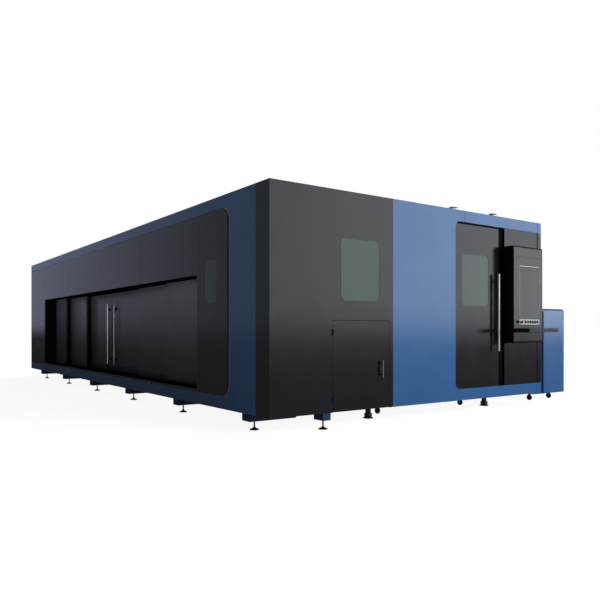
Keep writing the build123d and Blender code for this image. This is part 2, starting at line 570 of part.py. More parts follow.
LAST_LEAF_DEPTH = FIRST_LEAF_DEPTH + 2 * LEAF_PITCH
POCKET_BACK = FIRST_LEAF_DEPTH - TRACK_LAP
SIDE_TRACK_BACK = LAST_LEAF_DEPTH + SIDE_LEAF_THICKNESS + TRACK_MARGIN
SIDE_LEAF_TOP = OPENING_TOP + TRACK_LAP
SIDE_TRACK_LOW = SIDE_LEAF_TOP + TRACK_LAP
GUIDE_TOP = OPENING_LOW - GUIDE_DROP
GUIDE_LOW = GUIDE_TOP - GUIDE_HEIGHT


def door_pocket():
    """The folded lining of the doorway, from the cover's edge in to the first leaf."""
    x0, x1 = COVER_DEPTH, POCKET_BACK
    lining = [slab(x0, x1, OPENING_NEAR - SHEET, OPENING_FAR + SHEET, OPENING_TOP, OPENING_TOP + SHEET)]
    for y0, y1 in ((OPENING_NEAR - SHEET, OPENING_NEAR), (OPENING_FAR, OPENING_FAR + SHEET)):
        lining.append(slab(x0, x1, y0, y1, OPENING_LOW, OPENING_TOP))
    return lining


def door_sill():
    """The folded threshold under the leaves' front."""
    x0, x1, t = COVER_DEPTH, POCKET_BACK, SILL_THICKNESS
    y0, y1 = OPENING_NEAR - SHEET, OPENING_FAR + SHEET
    sill = [slab(x0, x1, y0, y1, OPENING_LOW - t, OPENING_LOW)]
    sill += [slab(x, x + t, y0, y1, TUBE, OPENING_LOW - t) for x in (x0, x1 - t)]
    return sill


LEAF_DEPTHS = steps(FIRST_LEAF_DEPTH, LEAF_PITCH, 3)


def door_tracks():
    """The top track that carries the leaves and the slotted guide under them."""
    y0, y1 = TRACK_NEAR, LENGTH - COVER_DEPTH - TUBE
    front, back = POCKET_BACK + FIT, SIDE_TRACK_BACK
    rail_top = SIDE_TRACK_LOW + TRACK_RAIL_HEIGHT
    top = slab(FRAME + TUBE, back, y0, y1, rail_top, rail_top + TRACK_PLATE)
    top += slab(POCKET_BACK, back, y0, y1, SIDE_TRACK_LOW, rail_top)
    low = slab(front, back, y0, y1, GUIDE_LOW, GUIDE_TOP)
    low += slab(back - GUIDE_LEG, back, y0, y1, 0, GUIDE_LOW)
    low += slab(front, front + GUIDE_LEG, y0, y1, 0, GUIDE_LOW)
    tubes = [y - TUBE / 2 for y in SIDE_FEET_Y] + [SOURCE_BACK - TUBE]
    for y in tubes:
        low -= slab(0, BLOCK_REACH, y - FIT, y + TUBE + FIT, 0, TUBE + FIT)
    half = STRIP / 2 + FIT
    strip_top = SIDE_LEAF_TOP + STRIP_HEIGHT + FIT
    for depth in LEAF_DEPTHS:
        middle = depth + SIDE_LEAF_THICKNESS / 2
        top -= slab(middle - half, middle + half, y0, y1, SIDE_TRACK_LOW, strip_top)
        low -= slab(middle - half, middle + half, y0, y1, GUIDE_TOP - GUIDE_HEIGHT / 2, GUIDE_TOP)
    return [top, low]


def side_leaf(number, edge, away):
    """One telescopic leaf. Number 0 is the outermost; edge is its end nearest the seam."""
    depth = LEAF_DEPTHS[number]
    y0, y1 = sorted((edge, edge + away * SIDE_LEAF_WIDTH))
    if edge == SEAM_Y:
        y0, y1 = (y0 + SEAM, y1) if away > 0 else (y0, y1 - SEAM)
    low = OPENING_LOW + TRACK_LAP if number == 0 else GUIDE_TOP + TRACK_LAP
    thickness = SIDE_LEAF_THICKNESS
    leaf = cover(LEFT.offset(depth), 1, (y0, y1, low, SIDE_LEAF_TOP), depth=thickness)
    middle = depth + thickness / 2
    x0, x1 = middle - STRIP / 2, middle + STRIP / 2
    leaf += slab(x0, x1, y0, y1, SIDE_LEAF_TOP, SIDE_LEAF_TOP + STRIP_HEIGHT)
    return leaf + slab(x0, x1, y0, y1, GUIDE_TOP - GUIDE_HEIGHT / 2 + FIT, low)


def side_handle(away):
    """The tall pull of an innermost leaf: a flat bar on two stand-offs."""
    y = SEAM_Y + away * SIDE_PULL_OFFSET
    face, half = LAST_LEAF_DEPTH, SIDE_PULL_WIDTH / 2
    front = face - SIDE_PULL_STANDS
    back = front + SIDE_PULL_THICKNESS
    bar = slab(front, back, y - half, y + half, SIDE_PULL_LOW, SIDE_PULL_TOP)
    bar = fillet(bar.edges().filter_by(Axis.Z), SIDE_PULL_RADIUS)
    half = SIDE_STAND_WIDTH / 2
    for z in (SIDE_PULL_LOW + SIDE_STAND_INSET, SIDE_PULL_TOP - SIDE_STAND_INSET - SIDE_STAND_HEIGHT):
        bar += slab(back, face, y - half, y + half, z, z + SIDE_STAND_HEIGHT)
    return bar


def door_lock():
    return bar_x(LAST_LEAF_DEPTH - LOCK_STANDS, LAST_LEAF_DEPTH, SEAM_Y - LOCK_OFFSET, LOCK_Z, LOCK_RADIUS)


def right_trim():
    """The blue header, skirt and corner strips of the right and back walls."""
    wrap = WIDTH - RIGHT_WRAP
    strips = []
    for low, top in ((HEADER_LOW, HEIGHT), (0, SKIRT_TOP)):
        strips.append(cover(RIGHT, -1, (0, LENGTH, low, top)) + cover(FRONT, -1, (wrap, WIDTH, low, top)))
        strips.append(cover(BACK, 1, (COVER_DEPTH, WIDTH - COVER_DEPTH, low, top)))
    return strips


def right_panels():
    """The dark covers of the right wall. The first one turns round the front corner."""
    low, high = SKIRT_TOP + SEAM, HEADER_LOW - SEAM
    seams = steps(0, LENGTH / RIGHT_PANEL_COUNT, RIGHT_PANEL_COUNT + 1)
    panels = []
    for start, end in zip(seams, seams[1:]):
        tray = cover(RIGHT, -1, (start + SEAM if start else 0, end, low, high))
        if start == 0:
            tray += cover(FRONT, -1, (WIDTH - RIGHT_WRAP, WIDTH, low, high))
        panels.append(tray)
    return panels


SPIGOTS_X = (WIDTH / 2 - SPIGOT_OFFSET, WIDTH / 2 + SPIGOT_OFFSET)


def back_panels():
    """The dark covers of the back wall, cut through behind the dust spigots and the cable gland."""
    low, high = SKIRT_TOP + SEAM, HEADER_LOW - SEAM
    panels = [cover(BACK, 1, (a + SEAM, b, low, high)) for a, b in zip(BACK_SEAMS, BACK_SEAMS[1:])]
    for x in SPIGOTS_X:
        panels[1] -= bar_y(x, LENGTH - SHEET, LENGTH, SPIGOT_Z, SPIGOT_RADIUS - SPIGOT_WALL)
    panels[2] -= bar_y(GLAND_X, LENGTH - SHEET, LENGTH, GLAND_Z, GLAND_RADIUS / 2)
    return panels


def cable_gland():
    """The inlet for the power cable, low on the back wall."""
    gland = bar_y(GLAND_X, LENGTH, LENGTH + GLAND_LENGTH, GLAND_Z, GLAND_RADIUS)
    return gland - bar_y(GLAND_X, LENGTH, LENGTH + GLAND_LENGTH, GLAND_Z, GLAND_RADIUS / 2)


def dust_spigots():
    """Two round stubs on the back wall that the extraction hoses slip over."""
    stubs = []
    for x in SPIGOTS_X:
        stub = bar_y(x, LENGTH + SHEET, LENGTH + SPIGOT_LENGTH, SPIGOT_Z, SPIGOT_RADIUS)
        stub += bar_y(x, LENGTH, LENGTH + SHEET, SPIGOT_Z, SPIGOT_RADIUS + SPIGOT_FLANGE)
        stubs.append(stub - bar_y(x, LENGTH, LENGTH + SPIGOT_LENGTH, SPIGOT_Z, SPIGOT_RADIUS - SPIGOT_WALL))
    return stubs


def roof():
    x0, x1 = COVER_DEPTH, WIDTH - COVER_DEPTH
    return [cover(ROOF, -1, (x0, x1, a + SEAM, b)) for a, b in zip(ROOF_SEAMS, ROOF_SEAMS[1:])]


def roof_lugs():
    """Two small stepped lugs near the front edge of the roof."""
    lugs = []
    y0, y1 = LUG_Y, LUG_Y + LUG_LENGTH
    top = HEIGHT + LUG_HEIGHT
    for x in (FIRST_LUG_X, SECOND_LUG_X):
        web = x + LUG_BASE - LUG_SHEET
        lug = slab(x, x + LUG_BASE, y0, y1, HEIGHT, HEIGHT + LUG_SHEET)
        lug += slab(web, web + LUG_SHEET, y0, y1, HEIGHT, top)
        lugs.append(lug + slab(web, x + LUG_WIDTH, y0, y1, top - LUG_SHEET, top))
    return lugs


RAIL_TOP = GIRDER_HEIGHT + RAIL_HEIGHT


def guide_rails():
    """The two guide rails on the girders, and the racks on their outer sides."""
    pieces = []
    for x, side in ((LEFT_GIRDER_X, -1), (RIGHT_GIRDER_X, 1)):
        half = RAIL_WIDTH / 2
        pieces.append(slab(x - half, x + half, BED_FRONT, BED_BACK, GIRDER_HEIGHT, RAIL_TOP))
        x0, x1 = sorted((x + side * GIRDER_HALF, x + side * (GIRDER_HALF + RACK_SIZE)))
        z1 = GIRDER_HEIGHT - RACK_DROP
        pieces.append(slab(x0, x1, BED_FRONT, BED_BACK, z1 - RACK_SIZE, z1))
    return pieces


TABLE_LEFT, TABLE_RIGHT = LEFT_GIRDER_X + GIRDER_HALF, RIGHT_GIRDER_X - GIRDER_HALF
SLAT_TOP = LEDGE_Z + SLAT_HEIGHT


def slat_rack():
    """Two angle ledges along the girders that the slats stand on."""
    rack = []
    y0, y1, low = TABLE_NEAR, TABLE_FAR, LEDGE_Z - LEDGE_SIZE
    for wall, side in ((TABLE_LEFT, 1), (TABLE_RIGHT, -1)):
        x0, x1 = sorted((wall, wall + side * LEDGE_SIZE))
        x2, x3 = sorted((wall, wall + side * LEDGE_SHEET))
        rack.append(slab(x0, x1, y0, y1, LEDGE_Z - LEDGE_SHEET, LEDGE_Z) + slab(x2, x3, y0, y1, low, LEDGE_Z))
    return rack


def slats():
    """The toothed support slats, each standing across the table."""
    x0, x1 = TABLE_LEFT + SLAT_END_GAP, TABLE_RIGHT - SLAT_END_GAP
    teeth = floor((x1 - x0) / TOOTH_PITCH)
    margin = (x1 - x0 - teeth * TOOTH_PITCH) / 2
    outline = [(x0, LEDGE_Z), (x0, SLAT_TOP - TOOTH_HEIGHT)]
    for i in range(teeth):
        start = x0 + margin + i * TOOTH_PITCH
        outline += [(start, SLAT_TOP - TOOTH_HEIGHT), (start + TOOTH_PITCH / 2, SLAT_TOP)]
    outline += [(x1 - margin, SLAT_TOP - TOOTH_HEIGHT), (x1, SLAT_TOP - TOOTH_HEIGHT), (x1, LEDGE_Z)]
    face = make_face(Polyline(*outline, close=True))
    one = extrude(Plane.XZ * face, SLAT_SHEET / 2, both=True)
    count = floor((TABLE_FAR - TABLE_NEAR) / SLAT_PITCH)
    start = (TABLE_NEAR + TABLE_FAR - (count - 1) * SLAT_PITCH) / 2
    return [Pos(0, y, 0) * one for y in steps(start, SLAT_PITCH, count)]


def slag_trays():
    """Open sheet trays on the cross beams that catch the slag."""
    x0, x1 = TABLE_LEFT + SLAG_TRAY_SIDE_GAP, TABLE_RIGHT - SLAG_TRAY_SIDE_GAP
    z0, z1 = CROSS_HEIGHT, CROSS_HEIGHT + SLAG_TRAY_HEIGHT
    trays = []
    for start, end in zip(CROSS_Y, CROSS_Y[1:]):
        y0, y1 = start + SEAM, end - SEAM
        inner = slab(x0 + SHEET, x1 - SHEET, y0 + SHEET, y1 - SHEET, z0 + SHEET, z1)
        trays.append(slab(x0, x1, y0, y1, z0, z1) - inner)
    return trays


TRUCK_LOW = GIRDER_HEIGHT + TRUCK_GAP
TRUCK_TOP = RAIL_TOP + TRUCK_HEIGHT
BEAM_TOP = TRUCK_TOP + BEAM_HEIGHT
BEAM_FRONT = GANTRY_Y - BEAM_DEPTH / 2
BEAM_RAILS_Z = (TRUCK_TOP + BEAM_RAIL_INSET, BEAM_TOP - BEAM_RAIL_INSET)


def gantry():
    """The cross beam on its two end trucks, with the rails that carry the head's carriage."""
    x0, x1 = LEFT_GIRDER_X - GIRDER_HALF, RIGHT_GIRDER_X + GIRDER_HALF
    y0, y1, w = BEAM_FRONT, GANTRY_Y + BEAM_DEPTH / 2, BEAM_WALL
    near, far = GANTRY_Y - TRUCK_LENGTH / 2, GANTRY_Y + TRUCK_LENGTH / 2
    truck_half, bearing_half, rail_half = GIRDER_HALF - TRUCK_INSET, BEARING_WIDTH / 2, RAIL_WIDTH / 2 + FIT
    beam = slab(x0, x1, y0, y1, TRUCK_TOP, BEAM_TOP)
    beam -= slab(x0 + w, x1 - w, y0 + w, y1 - w, TRUCK_TOP + w, BEAM_TOP - w)
    half = BEAM_RAIL_WIDTH / 2
    for z in BEAM_RAILS_Z:
        beam += slab(x0 + BEAM_RAIL_END, x1 - BEAM_RAIL_END, y0 - BEAM_RAIL_HEIGHT, y0, z - half, z + half)
    for x, side in ((LEFT_GIRDER_X, -1), (RIGHT_GIRDER_X, 1)):
        truck = slab(x - truck_half, x + truck_half, near, far, RAIL_TOP + TRUCK_STEP, TRUCK_TOP)
        for y in (near, far - BEARING_LENGTH):
            truck += slab(
                x - bearing_half, x + bearing_half, y, y + BEARING_LENGTH, TRUCK_LOW, RAIL_TOP + TRUCK_STEP
            )
        beam += truck - slab(x - rail_half, x + rail_half, near, far, GIRDER_HEIGHT, RAIL_TOP + FIT)
        drive_x, drive_y = x + side * DRIVE_SHIFT, far - DRIVE_INSET
        beam += post(drive_x, drive_y, TRUCK_TOP, TRUCK_TOP + DRIVE_HEIGHT, DRIVE_RADIUS)
    return beam


CARRIAGE_BACK = BEAM_FRONT - BEAM_RAIL_HEIGHT - CARRIAGE_STAND
CARRIAGE_FRONT = CARRIAGE_BACK - CARRIAGE_THICKNESS
HEAD_BACK = CARRIAGE_FRONT - SLIDE_HEIGHT


def carriage():
    """The plate that runs along the beam, with its bearing blocks and a motor on top."""
    x0, x1 = CARRIAGE_X - CARRIAGE_WIDTH / 2, CARRIAGE_X + CARRIAGE_WIDTH / 2
    low, top = TRUCK_TOP + CARRIAGE_LIFT, BEAM_TOP + CARRIAGE_RISE
    plate = slab(x0, x1, CARRIAGE_FRONT, CARRIAGE_BACK, low, top)
    half, block_back = BEAM_RAIL_WIDTH / 2 + FIT, BEAM_FRONT - CARRIAGE_BLOCK_GAP
    reach = half + CARRIAGE_BLOCK_LIP
    for z in BEAM_RAILS_Z:
        for x in (x0, x1 - CARRIAGE_BLOCK):
            far = x + CARRIAGE_BLOCK
            block = slab(x, far, CARRIAGE_BACK, block_back, z - reach, z + reach)
            plate += block - slab(x, far, BEAM_FRONT - BEAM_RAIL_HEIGHT - FIT, BEAM_FRONT, z - half, z + half)
    for x in (x0 + SLIDE_INSET, x1 - SLIDE_INSET - SLIDE_WIDTH):
        plate += slab(x, x + SLIDE_WIDTH, HEAD_BACK, CARRIAGE_FRONT, low, top)
    return plate + post(CARRIAGE_X, CARRIAGE_BACK, top, top + CARRIAGE_DRIVE_HEIGHT, CARRIAGE_DRIVE_RADIUS)


HEAD_LOW = TRUCK_TOP - HEAD_DROP
NOZZLE_TIP = SLAT_TOP + NOZZLE_CLEARANCE


def cutting_head():
    """The slide plate with the cutting head, from its collimator down to the nozzle tip."""
    x, half = CARRIAGE_X, HEAD_WIDTH / 2
    back = HEAD_BACK - FIT
    front = back - HEAD_THICKNESS
    low, top = HEAD_LOW, HEAD_LOW + HEAD_HEIGHT
    body = slab(x - half, x + half, front, back, low, top)
    for side in (-1, 1):
        x0, x1 = sorted((x + side * half, x + side * (SLIDER_OFFSET + SLIDER_HALF)))
        body += slab(x0, x1, front, back, low + SLIDER_INSET, top - SLIDER_INSET)
    y = front - COLLIMATOR_OUT
    neck_low = NOZZLE_TIP + NOZZLE_HEIGHT
    focus_low = neck_low + NECK_HEIGHT
    collimator_low = focus_low + FOCUS_HEIGHT
    collimator_top = collimator_low + COLLIMATOR_HEIGHT
    body += post(x, y, collimator_low, collimator_top, COLLIMATOR_RADIUS)
    half = BRACKET_HALF
    bracket_low, bracket_top = collimator_low + BRACKET_INSET, collimator_top - BRACKET_INSET
    body += slab(x - half, x + half, y, front, bracket_low, bracket_top)
    body += Pos(x, y, focus_low + FOCUS_HEIGHT / 2) * Cone(FOCUS_RADIUS, COLLIMATOR_RADIUS, FOCUS_HEIGHT)
    body += post(x, y, neck_low, focus_low, NECK_RADIUS)
    nozzle = Cone(NOZZLE_TIP_RADIUS, NOZZLE_RADIUS, NOZZLE_HEIGHT)
    return body + Pos(x, y, NOZZLE_TIP + NOZZLE_HEIGHT / 2) * nozzle


def laser_source():
    """The laser source behind the service door: a closed cabinet with a recessed front for each drawer."""
    box = slab(SOURCE_LEFT, SOURCE_RIGHT, SOURCE_FRONT, SOURCE_BACK, TUBE, SOURCE_TOP)
    box = fillet(box.edges().filter_by(Axis.Z), SOURCE_RADIUS)
    x0, x1 = SOURCE_LEFT + DRAWER_MARGIN, SOURCE_RIGHT - DRAWER_MARGIN
    for z in steps(TUBE + FIRST_DRAWER, DRAWER_PITCH, DRAWER_COUNT):
        box -= slab(x0, x1, SOURCE_FRONT, SOURCE_FRONT + DRAWER_RECESS, z, z + DRAWER_HEIGHT)
    return box


def console_block(inset):
    """The console's outer form, or its hollow when inset by the sheet."""
    box = slab(
        CONSOLE_LEFT + inset,
        CONSOLE_RIGHT - inset,
        -CONSOLE_FRONT + inset,
        RIGHT_PANEL_SET_BACK,
        CONSOLE_LOW + inset,
        CONSOLE_TOP - inset,
    )
    rims = box.edges().filter_by(Axis.X).group_by(Axis.Y)[0]
    return fillet(rims, CONSOLE_RADIUS - inset)


TRAY_HALF = TRAY_THICKNESS / 2
TRAY_HINGE_Y = -CONSOLE_FRONT - TRAY_HALF - TRAY_SWING_GAP
TRAY_HINGE_Z = TRAY_TOP - TRAY_HALF
TRAY_EARS_X = (CONSOLE_LEFT + TRAY_EAR_INSET, CONSOLE_RIGHT - TRAY_EAR_INSET - TRAY_EAR)
BUTTON_Z = (PLATE_LOW + PLATE_TOP) / 2
PLATE_FRONT = -CONSOLE_FRONT - PANE_SET_BACK
BUTTONS_X = steps(FIRST_BUTTON_X, BUTTON_PITCH, BUTTON_COUNT)


def console_housing():
    """The console's folded shell, open against the wall behind it, with the ears that carry the tray."""
    front = -CONSOLE_FRONT
    shell = console_block(0) - console_block(SHEET)
    shell -= slab(SCREEN_LEFT, SCREEN_RIGHT, front, front + SHEET, SCREEN_LOW, SCREEN_TOP)
    shell -= slab(PLATE_LEFT, PLATE_RIGHT, front, front + SHEET, PLATE_LOW, PLATE_TOP)
    shell -= bar_y(KNOB_X, front, front + SHEET, BUTTON_Z, SHAFT_RADIUS + FIT)
    line_top = CONSOLE_LINE_Z + CONSOLE_LINE_HEIGHT
    shell -= slab(CONSOLE_LINE_LEFT, CONSOLE_LINE_RIGHT, front, front + SHEET / 2, CONSOLE_LINE_Z, line_top)
    for x in TRAY_EARS_X:
        z0, z1 = TRAY_HINGE_Z - TRAY_EAR_RADIUS, TRAY_HINGE_Z + TRAY_EAR_RADIUS
        shell += slab(x, x + TRAY_EAR, TRAY_HINGE_Y, front, z0, z1)
        shell += bar_x(x, x + TRAY_EAR, TRAY_HINGE_Y, TRAY_HINGE_Z, TRAY_EAR_RADIUS)
        shell += bar_x(x - TRAY_EAR, x + 2 * TRAY_EAR, TRAY_HINGE_Y, TRAY_HINGE_Z, TRAY_PIN_RADIUS)
    return shell


def keyboard_tray():
    """The folded shelf under the controls, with a round back edge that turns on the console's pins."""
    x0, x1, z0, z1 = CONSOLE_LEFT, TRAY_RIGHT, TRAY_TOP - TRAY_THICKNESS, TRAY_TOP
    bar_front = TRAY_HINGE_Y - TRAY_HALF
    tray = slab(x0, x1, -TRAY_FRONT, TRAY_HINGE_Y, z0, z1)
    tray = fillet(tray.edges().filter_by(Axis.Z).group_by(Axis.Y)[0], TRAY_CORNER)
    tray += bar_x(x0, x1, TRAY_HINGE_Y, TRAY_HINGE_Z, TRAY_HALF)
    tray -= slab(x0 + SHEET, x1 - SHEET, -TRAY_FRONT + TRAY_CORNER + SHEET, bar_front, z0, z1 - SHEET)
    for x in TRAY_EARS_X:
        side = FIT + TRAY_EAR_RADIUS / 2
        tray -= slab(x - FIT, x + TRAY_EAR + FIT, bar_front - side, -CONSOLE_FRONT, z0, z1)
        pin = TRAY_PIN_RADIUS + RUNNING_CLEARANCE
        tray -= bar_x(x - TRAY_EAR - FIT, x + 2 * TRAY_EAR + FIT, TRAY_HINGE_Y, TRAY_HINGE_Z, pin)
    return tray


def console_screen():
    x0, x1, z0, z1 = SCREEN_LEFT + FIT, SCREEN_RIGHT - FIT, SCREEN_LOW + FIT, SCREEN_TOP - FIT
    front = -CONSOLE_FRONT - PANE_SET_BACK
    return slab(x0, x1, front, front + SCREEN_THICKNESS, z0, z1)


def button_plate():
    """The pale plate with a round hole for each button and the emergency stop."""
    x0, x1, z0, z1 = PLATE_LEFT + FIT, PLATE_RIGHT - FIT, PLATE_LOW + FIT, PLATE_TOP - FIT
    plate = slab(x0, x1, PLATE_FRONT, PLATE_FRONT + PLATE_THICKNESS, z0, z1)
    for x in BUTTONS_X + [STOP_X]:
        plate -= bar_y(x, PLATE_FRONT, PLATE_FRONT + PLATE_THICKNESS, BUTTON_Z, SHAFT_RADIUS + FIT)
    return plate


def shaft(x, start):
    """The round shaft of a control, from its cap through the plate to the rim that holds it in."""
    end = PLATE_FRONT + PLATE_THICKNESS + FIT
    rim = bar_y(x, end, end + SHAFT_RIM_DEPTH, BUTTON_Z, SHAFT_RADIUS + SHAFT_RIM)
    return bar_y(x, start, end, BUTTON_Z, SHAFT_RADIUS) + rim


def push_button(x):
    front, neck = PLATE_FRONT - BUTTON_STANDS, PLATE_FRONT - BUTTON_TRAVEL - FIT
    cap = bar_y(x, front, neck, BUTTON_Z, BUTTON_RADIUS)
    return fillet(cap.edges().group_by(Axis.Y)[0], CAP_EDGE) + shaft(x, neck)


def emergency_stop():
    front, neck = PLATE_FRONT - STOP_STANDS, PLATE_FRONT - STOP_TRAVEL - FIT
    mushroom = bar_y(STOP_X, front, front + STOP_CAP, BUTTON_Z, STOP_RADIUS)
    mushroom = fillet(mushroom.edges().group_by(Axis.Y)[0], STOP_EDGE)
    return mushroom + bar_y(STOP_X, front + STOP_CAP, neck, BUTTON_Z, COLLAR_RADIUS) + shaft(STOP_X, neck)


def selector_knob():
    front, neck, reach = PLATE_FRONT - KNOB_STANDS, PLATE_FRONT - FIT, KNOB_RADIUS - GRIP_INSET
    knob = bar_y(KNOB_X, front + GRIP_HEIGHT, neck, BUTTON_Z, KNOB_RADIUS)
    knob = fillet(knob.edges().group_by(Axis.Y)[0], CAP_EDGE)
    grip_back = front + GRIP_HEIGHT + CAP_EDGE
    grip = slab(KNOB_X - GRIP_HALF, KNOB_X + GRIP_HALF, front, grip_back, BUTTON_Z - reach, BUTTON_Z + reach)
    return knob + grip + shaft(KNOB_X, neck)


def caster_seat(x, y, top):
    """The plate and king pin that a swivel caster turns on."""
    half, pin_end = PLATE_SIDE / 2, top - CASTER_PLATE - CROWN - PIN_END_GAP
    seat = slab(x - half, x + half, y - half, y + half, top - CASTER_PLATE, top)
    return seat + post(x, y, pin_end, top - CASTER_PLATE, KING_PIN_RADIUS)


def caster_fork(x, y, top, axle_z, turns=True):
    """A fork with its axle. One that turns has a bore for the king pin and a running gap under its plate."""
    crown_top = top - CASTER_PLATE - (FIT if turns else 0)
    crown_low = crown_top - CROWN
    axle_y = y + CASTER_TRAIL
    fork = post(x, y, crown_low, crown_top, CROWN_RADIUS)
    inner = WHEEL_WIDTH / 2 + CHEEK_GAP
    for side in (-1, 1):
        x0, x1 = sorted((x + side * inner, x + side * (inner + CHEEK)))
        fork += slab(x0, x1, y - CHEEK_FRONT, axle_y + CHEEK_HALF, crown_low, crown_top)
        fork += slab(x0, x1, axle_y - CHEEK_HALF, axle_y + CHEEK_HALF, axle_z, crown_low)
        fork += bar_x(x0, x1, axle_y, axle_z, CHEEK_HALF)
    fork += bar_x(x - inner - CHEEK, x + inner + CHEEK, axle_y, axle_z, AXLE_RADIUS)
    if turns:
        fork -= post(x, y, crown_low, crown_top, KING_PIN_RADIUS + RUNNING_CLEARANCE)
    return fork


def caster_wheel(x, y, axle_z):
    axle_y = y + CASTER_TRAIL
    half = WHEEL_WIDTH / 2
    wheel = bar_x(x - half, x + half, axle_y, axle_z, WHEEL_RADIUS)
    wheel = fillet(wheel.edges(), TREAD_EDGE)
    return wheel - bar_x(x - half, x + half, axle_y, axle_z, AXLE_RADIUS + RUNNING_CLEARANCE)


AXLE_Z = WHEEL_RADIUS - FLOOR_GAP


def bed_casters():
    """The four transport casters under the end cross beams, just clear of the floor."""
    pieces = []
    axle_z = AXLE_Z + BED_CASTER_LIFT
    for y in (CROSS_Y[0], CROSS_Y[-1]):
        for x in BED_CASTERS_X:
            top = axle_z + WHEEL_RADIUS + BED_CASTER_ROOM + CROWN + CASTER_PLATE
            half = PLATE_SIDE / 2
            riser = slab(x - half, x + half, y - half, y + half, top - CASTER_PLATE, 0)
            pieces.append(riser + caster_fork(x, y, top, axle_z, turns=False))
            pieces.append(caster_wheel(x, y, axle_z))
    return pieces


COOLER_BACK = COOLER_FRONT + COOLER_DEPTH
COOLER_CASTERS_X = (COOLER_LEFT + CASTER_INSET_X, COOLER_RIGHT - CASTER_INSET_X)
FRONT_CASTER_Y, REAR_CASTER_Y = COOLER_FRONT + CASTER_INSET_Y, COOLER_BACK - CASTER_INSET_Y


def cooler_cabinet():
    """The water cooler's closed cabinet, with pressed louvres, caster seats and the fixed rear forks."""

    def block(inset):
        box = slab(
            COOLER_LEFT + inset,
            COOLER_RIGHT - inset,
            COOLER_FRONT + inset,
            COOLER_BACK - inset,
            COOLER_LOW + inset,
            COOLER_TOP - inset,
        )
        box = fillet(box.edges().filter_by(Axis.Z), COOLER_RADIUS - inset)
        return fillet(box.faces().sort_by(Axis.Z)[-1].edges(), COOLER_TOP_RADIUS - inset)

    cabinet = block(0) - block(SHEET)
    right, back, press = COOLER_RIGHT, COOLER_BACK, SHEET / 2
    y0, y1 = COOLER_FRONT + LOUVRE_INSET, COOLER_BACK - LOUVRE_INSET
    x0, x1 = COOLER_LEFT + LOUVRE_INSET, COOLER_RIGHT - LOUVRE_INSET
    for z in steps(COOLER_LOW + FIRST_LOUVRE, LOUVRE_PITCH, LOUVRE_COUNT):
        cabinet -= slab(right - press, right, y0, y1, z, z + LOUVRE_HEIGHT)
        cabinet -= slab(x0, x1, back - press, back, z, z + LOUVRE_HEIGHT)
    half, plate_low = PLATE_SIDE / 2, COOLER_LOW - CASTER_PLATE
    y0, y1 = REAR_CASTER_Y - half, REAR_CASTER_Y + half
    for x in COOLER_CASTERS_X:
        cabinet += caster_seat(x, FRONT_CASTER_Y, COOLER_LOW)
        cabinet += slab(x - half, x + half, y0, y1, plate_low, COOLER_LOW)
        cabinet += caster_fork(x, REAR_CASTER_Y, COOLER_LOW, AXLE_Z, turns=False)
    return cabinet


save("bed_frame", *bed_frame(), *slat_rack())
save("bed_feet", *machine_feet(), *bed_casters())
save("side_feet", *side_feet())
save("base_frame", *base_frame())
save("enclosure_frame", *enclosure_frame())

save("front_left_panel", front_left_panel())
left_pane = pane(LEFT, 1, LEFT_WINDOW_HOLE, PANE_SET_BACK)
save("wall_windows", pane(FRONT, -1, WINDOW_HOLE, PANE_SET_BACK), left_pane)
save("front_surround", *front_surround())
save("front_header", front_header())
save("front_door_frame", *front_door_frame())
save("front_right_panel", front_right_panel())
save("front_door", front_door())
save("front_door_window", pane(FRONT, -1, DOOR_WINDOW_HOLE, LEAF_SET_BACK + PANE_SET_BACK))
save("front_door_handle", front_door_handle())
save("service_hinges", *service_hinges())
save("service_door", service_door())
save("service_door_handle", service_handle())

save("left_surround", *left_surround())
save("left_panels", *left_panels())
save("left_gasket", left_gasket())
save("doorway_lining", *door_pocket(), *door_sill())
save("door_tracks", *door_tracks())
for number, edge in enumerate(NEAR_LEAF_EDGES):
    save(f"near_leaf_{number + 1}", side_leaf(number, edge, -1))
for number, edge in enumerate(FAR_LEAF_EDGES):
    save(f"far_leaf_{number + 1}", side_leaf(number, edge, 1))
save("near_leaf_handle", side_handle(-1), door_lock())
save("far_leaf_handle", side_handle(1))

save("right_trim", *right_trim())
save("right_panels", *right_panels())
save("back_panels", *back_panels(), *dust_spigots(), cable_gland())
save("roof", *roof(), *roof_lugs())

save("guide_rails", *guide_rails())
save("slats", *slats())
save("slag_trays", *slag_trays())
save("gantry", gantry())
save("carriage", carriage())
save("cutting_head", cutting_head())
save("laser_source", laser_source())

save("console_housing", console_housing())
save("console_screen", console_screen())
save("button_plate", button_plate())
save("keyboard_tray", keyboard_tray())
save("emergency_stop", emergency_stop())
save("selector_knob", selector_knob())
for number, x in enumerate(BUTTONS_X):
    save(f"push_button_{number + 1}", push_button(x))

save("cooler_cabinet", cooler_cabinet())
for side, x in zip(("left", "right"), COOLER_CASTERS_X):
    save(f"cooler_fork_{side}", caster_fork(x, FRONT_CASTER_Y, COOLER_LOW, AXLE_Z))
    save(f"cooler_front_wheel_{side}", caster_wheel(x, FRONT_CASTER_Y, AXLE_Z))
    save(f"cooler_rear_wheel_{side}", caster_wheel(x, REAR_CASTER_Y, AXLE_Z))
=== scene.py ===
import math

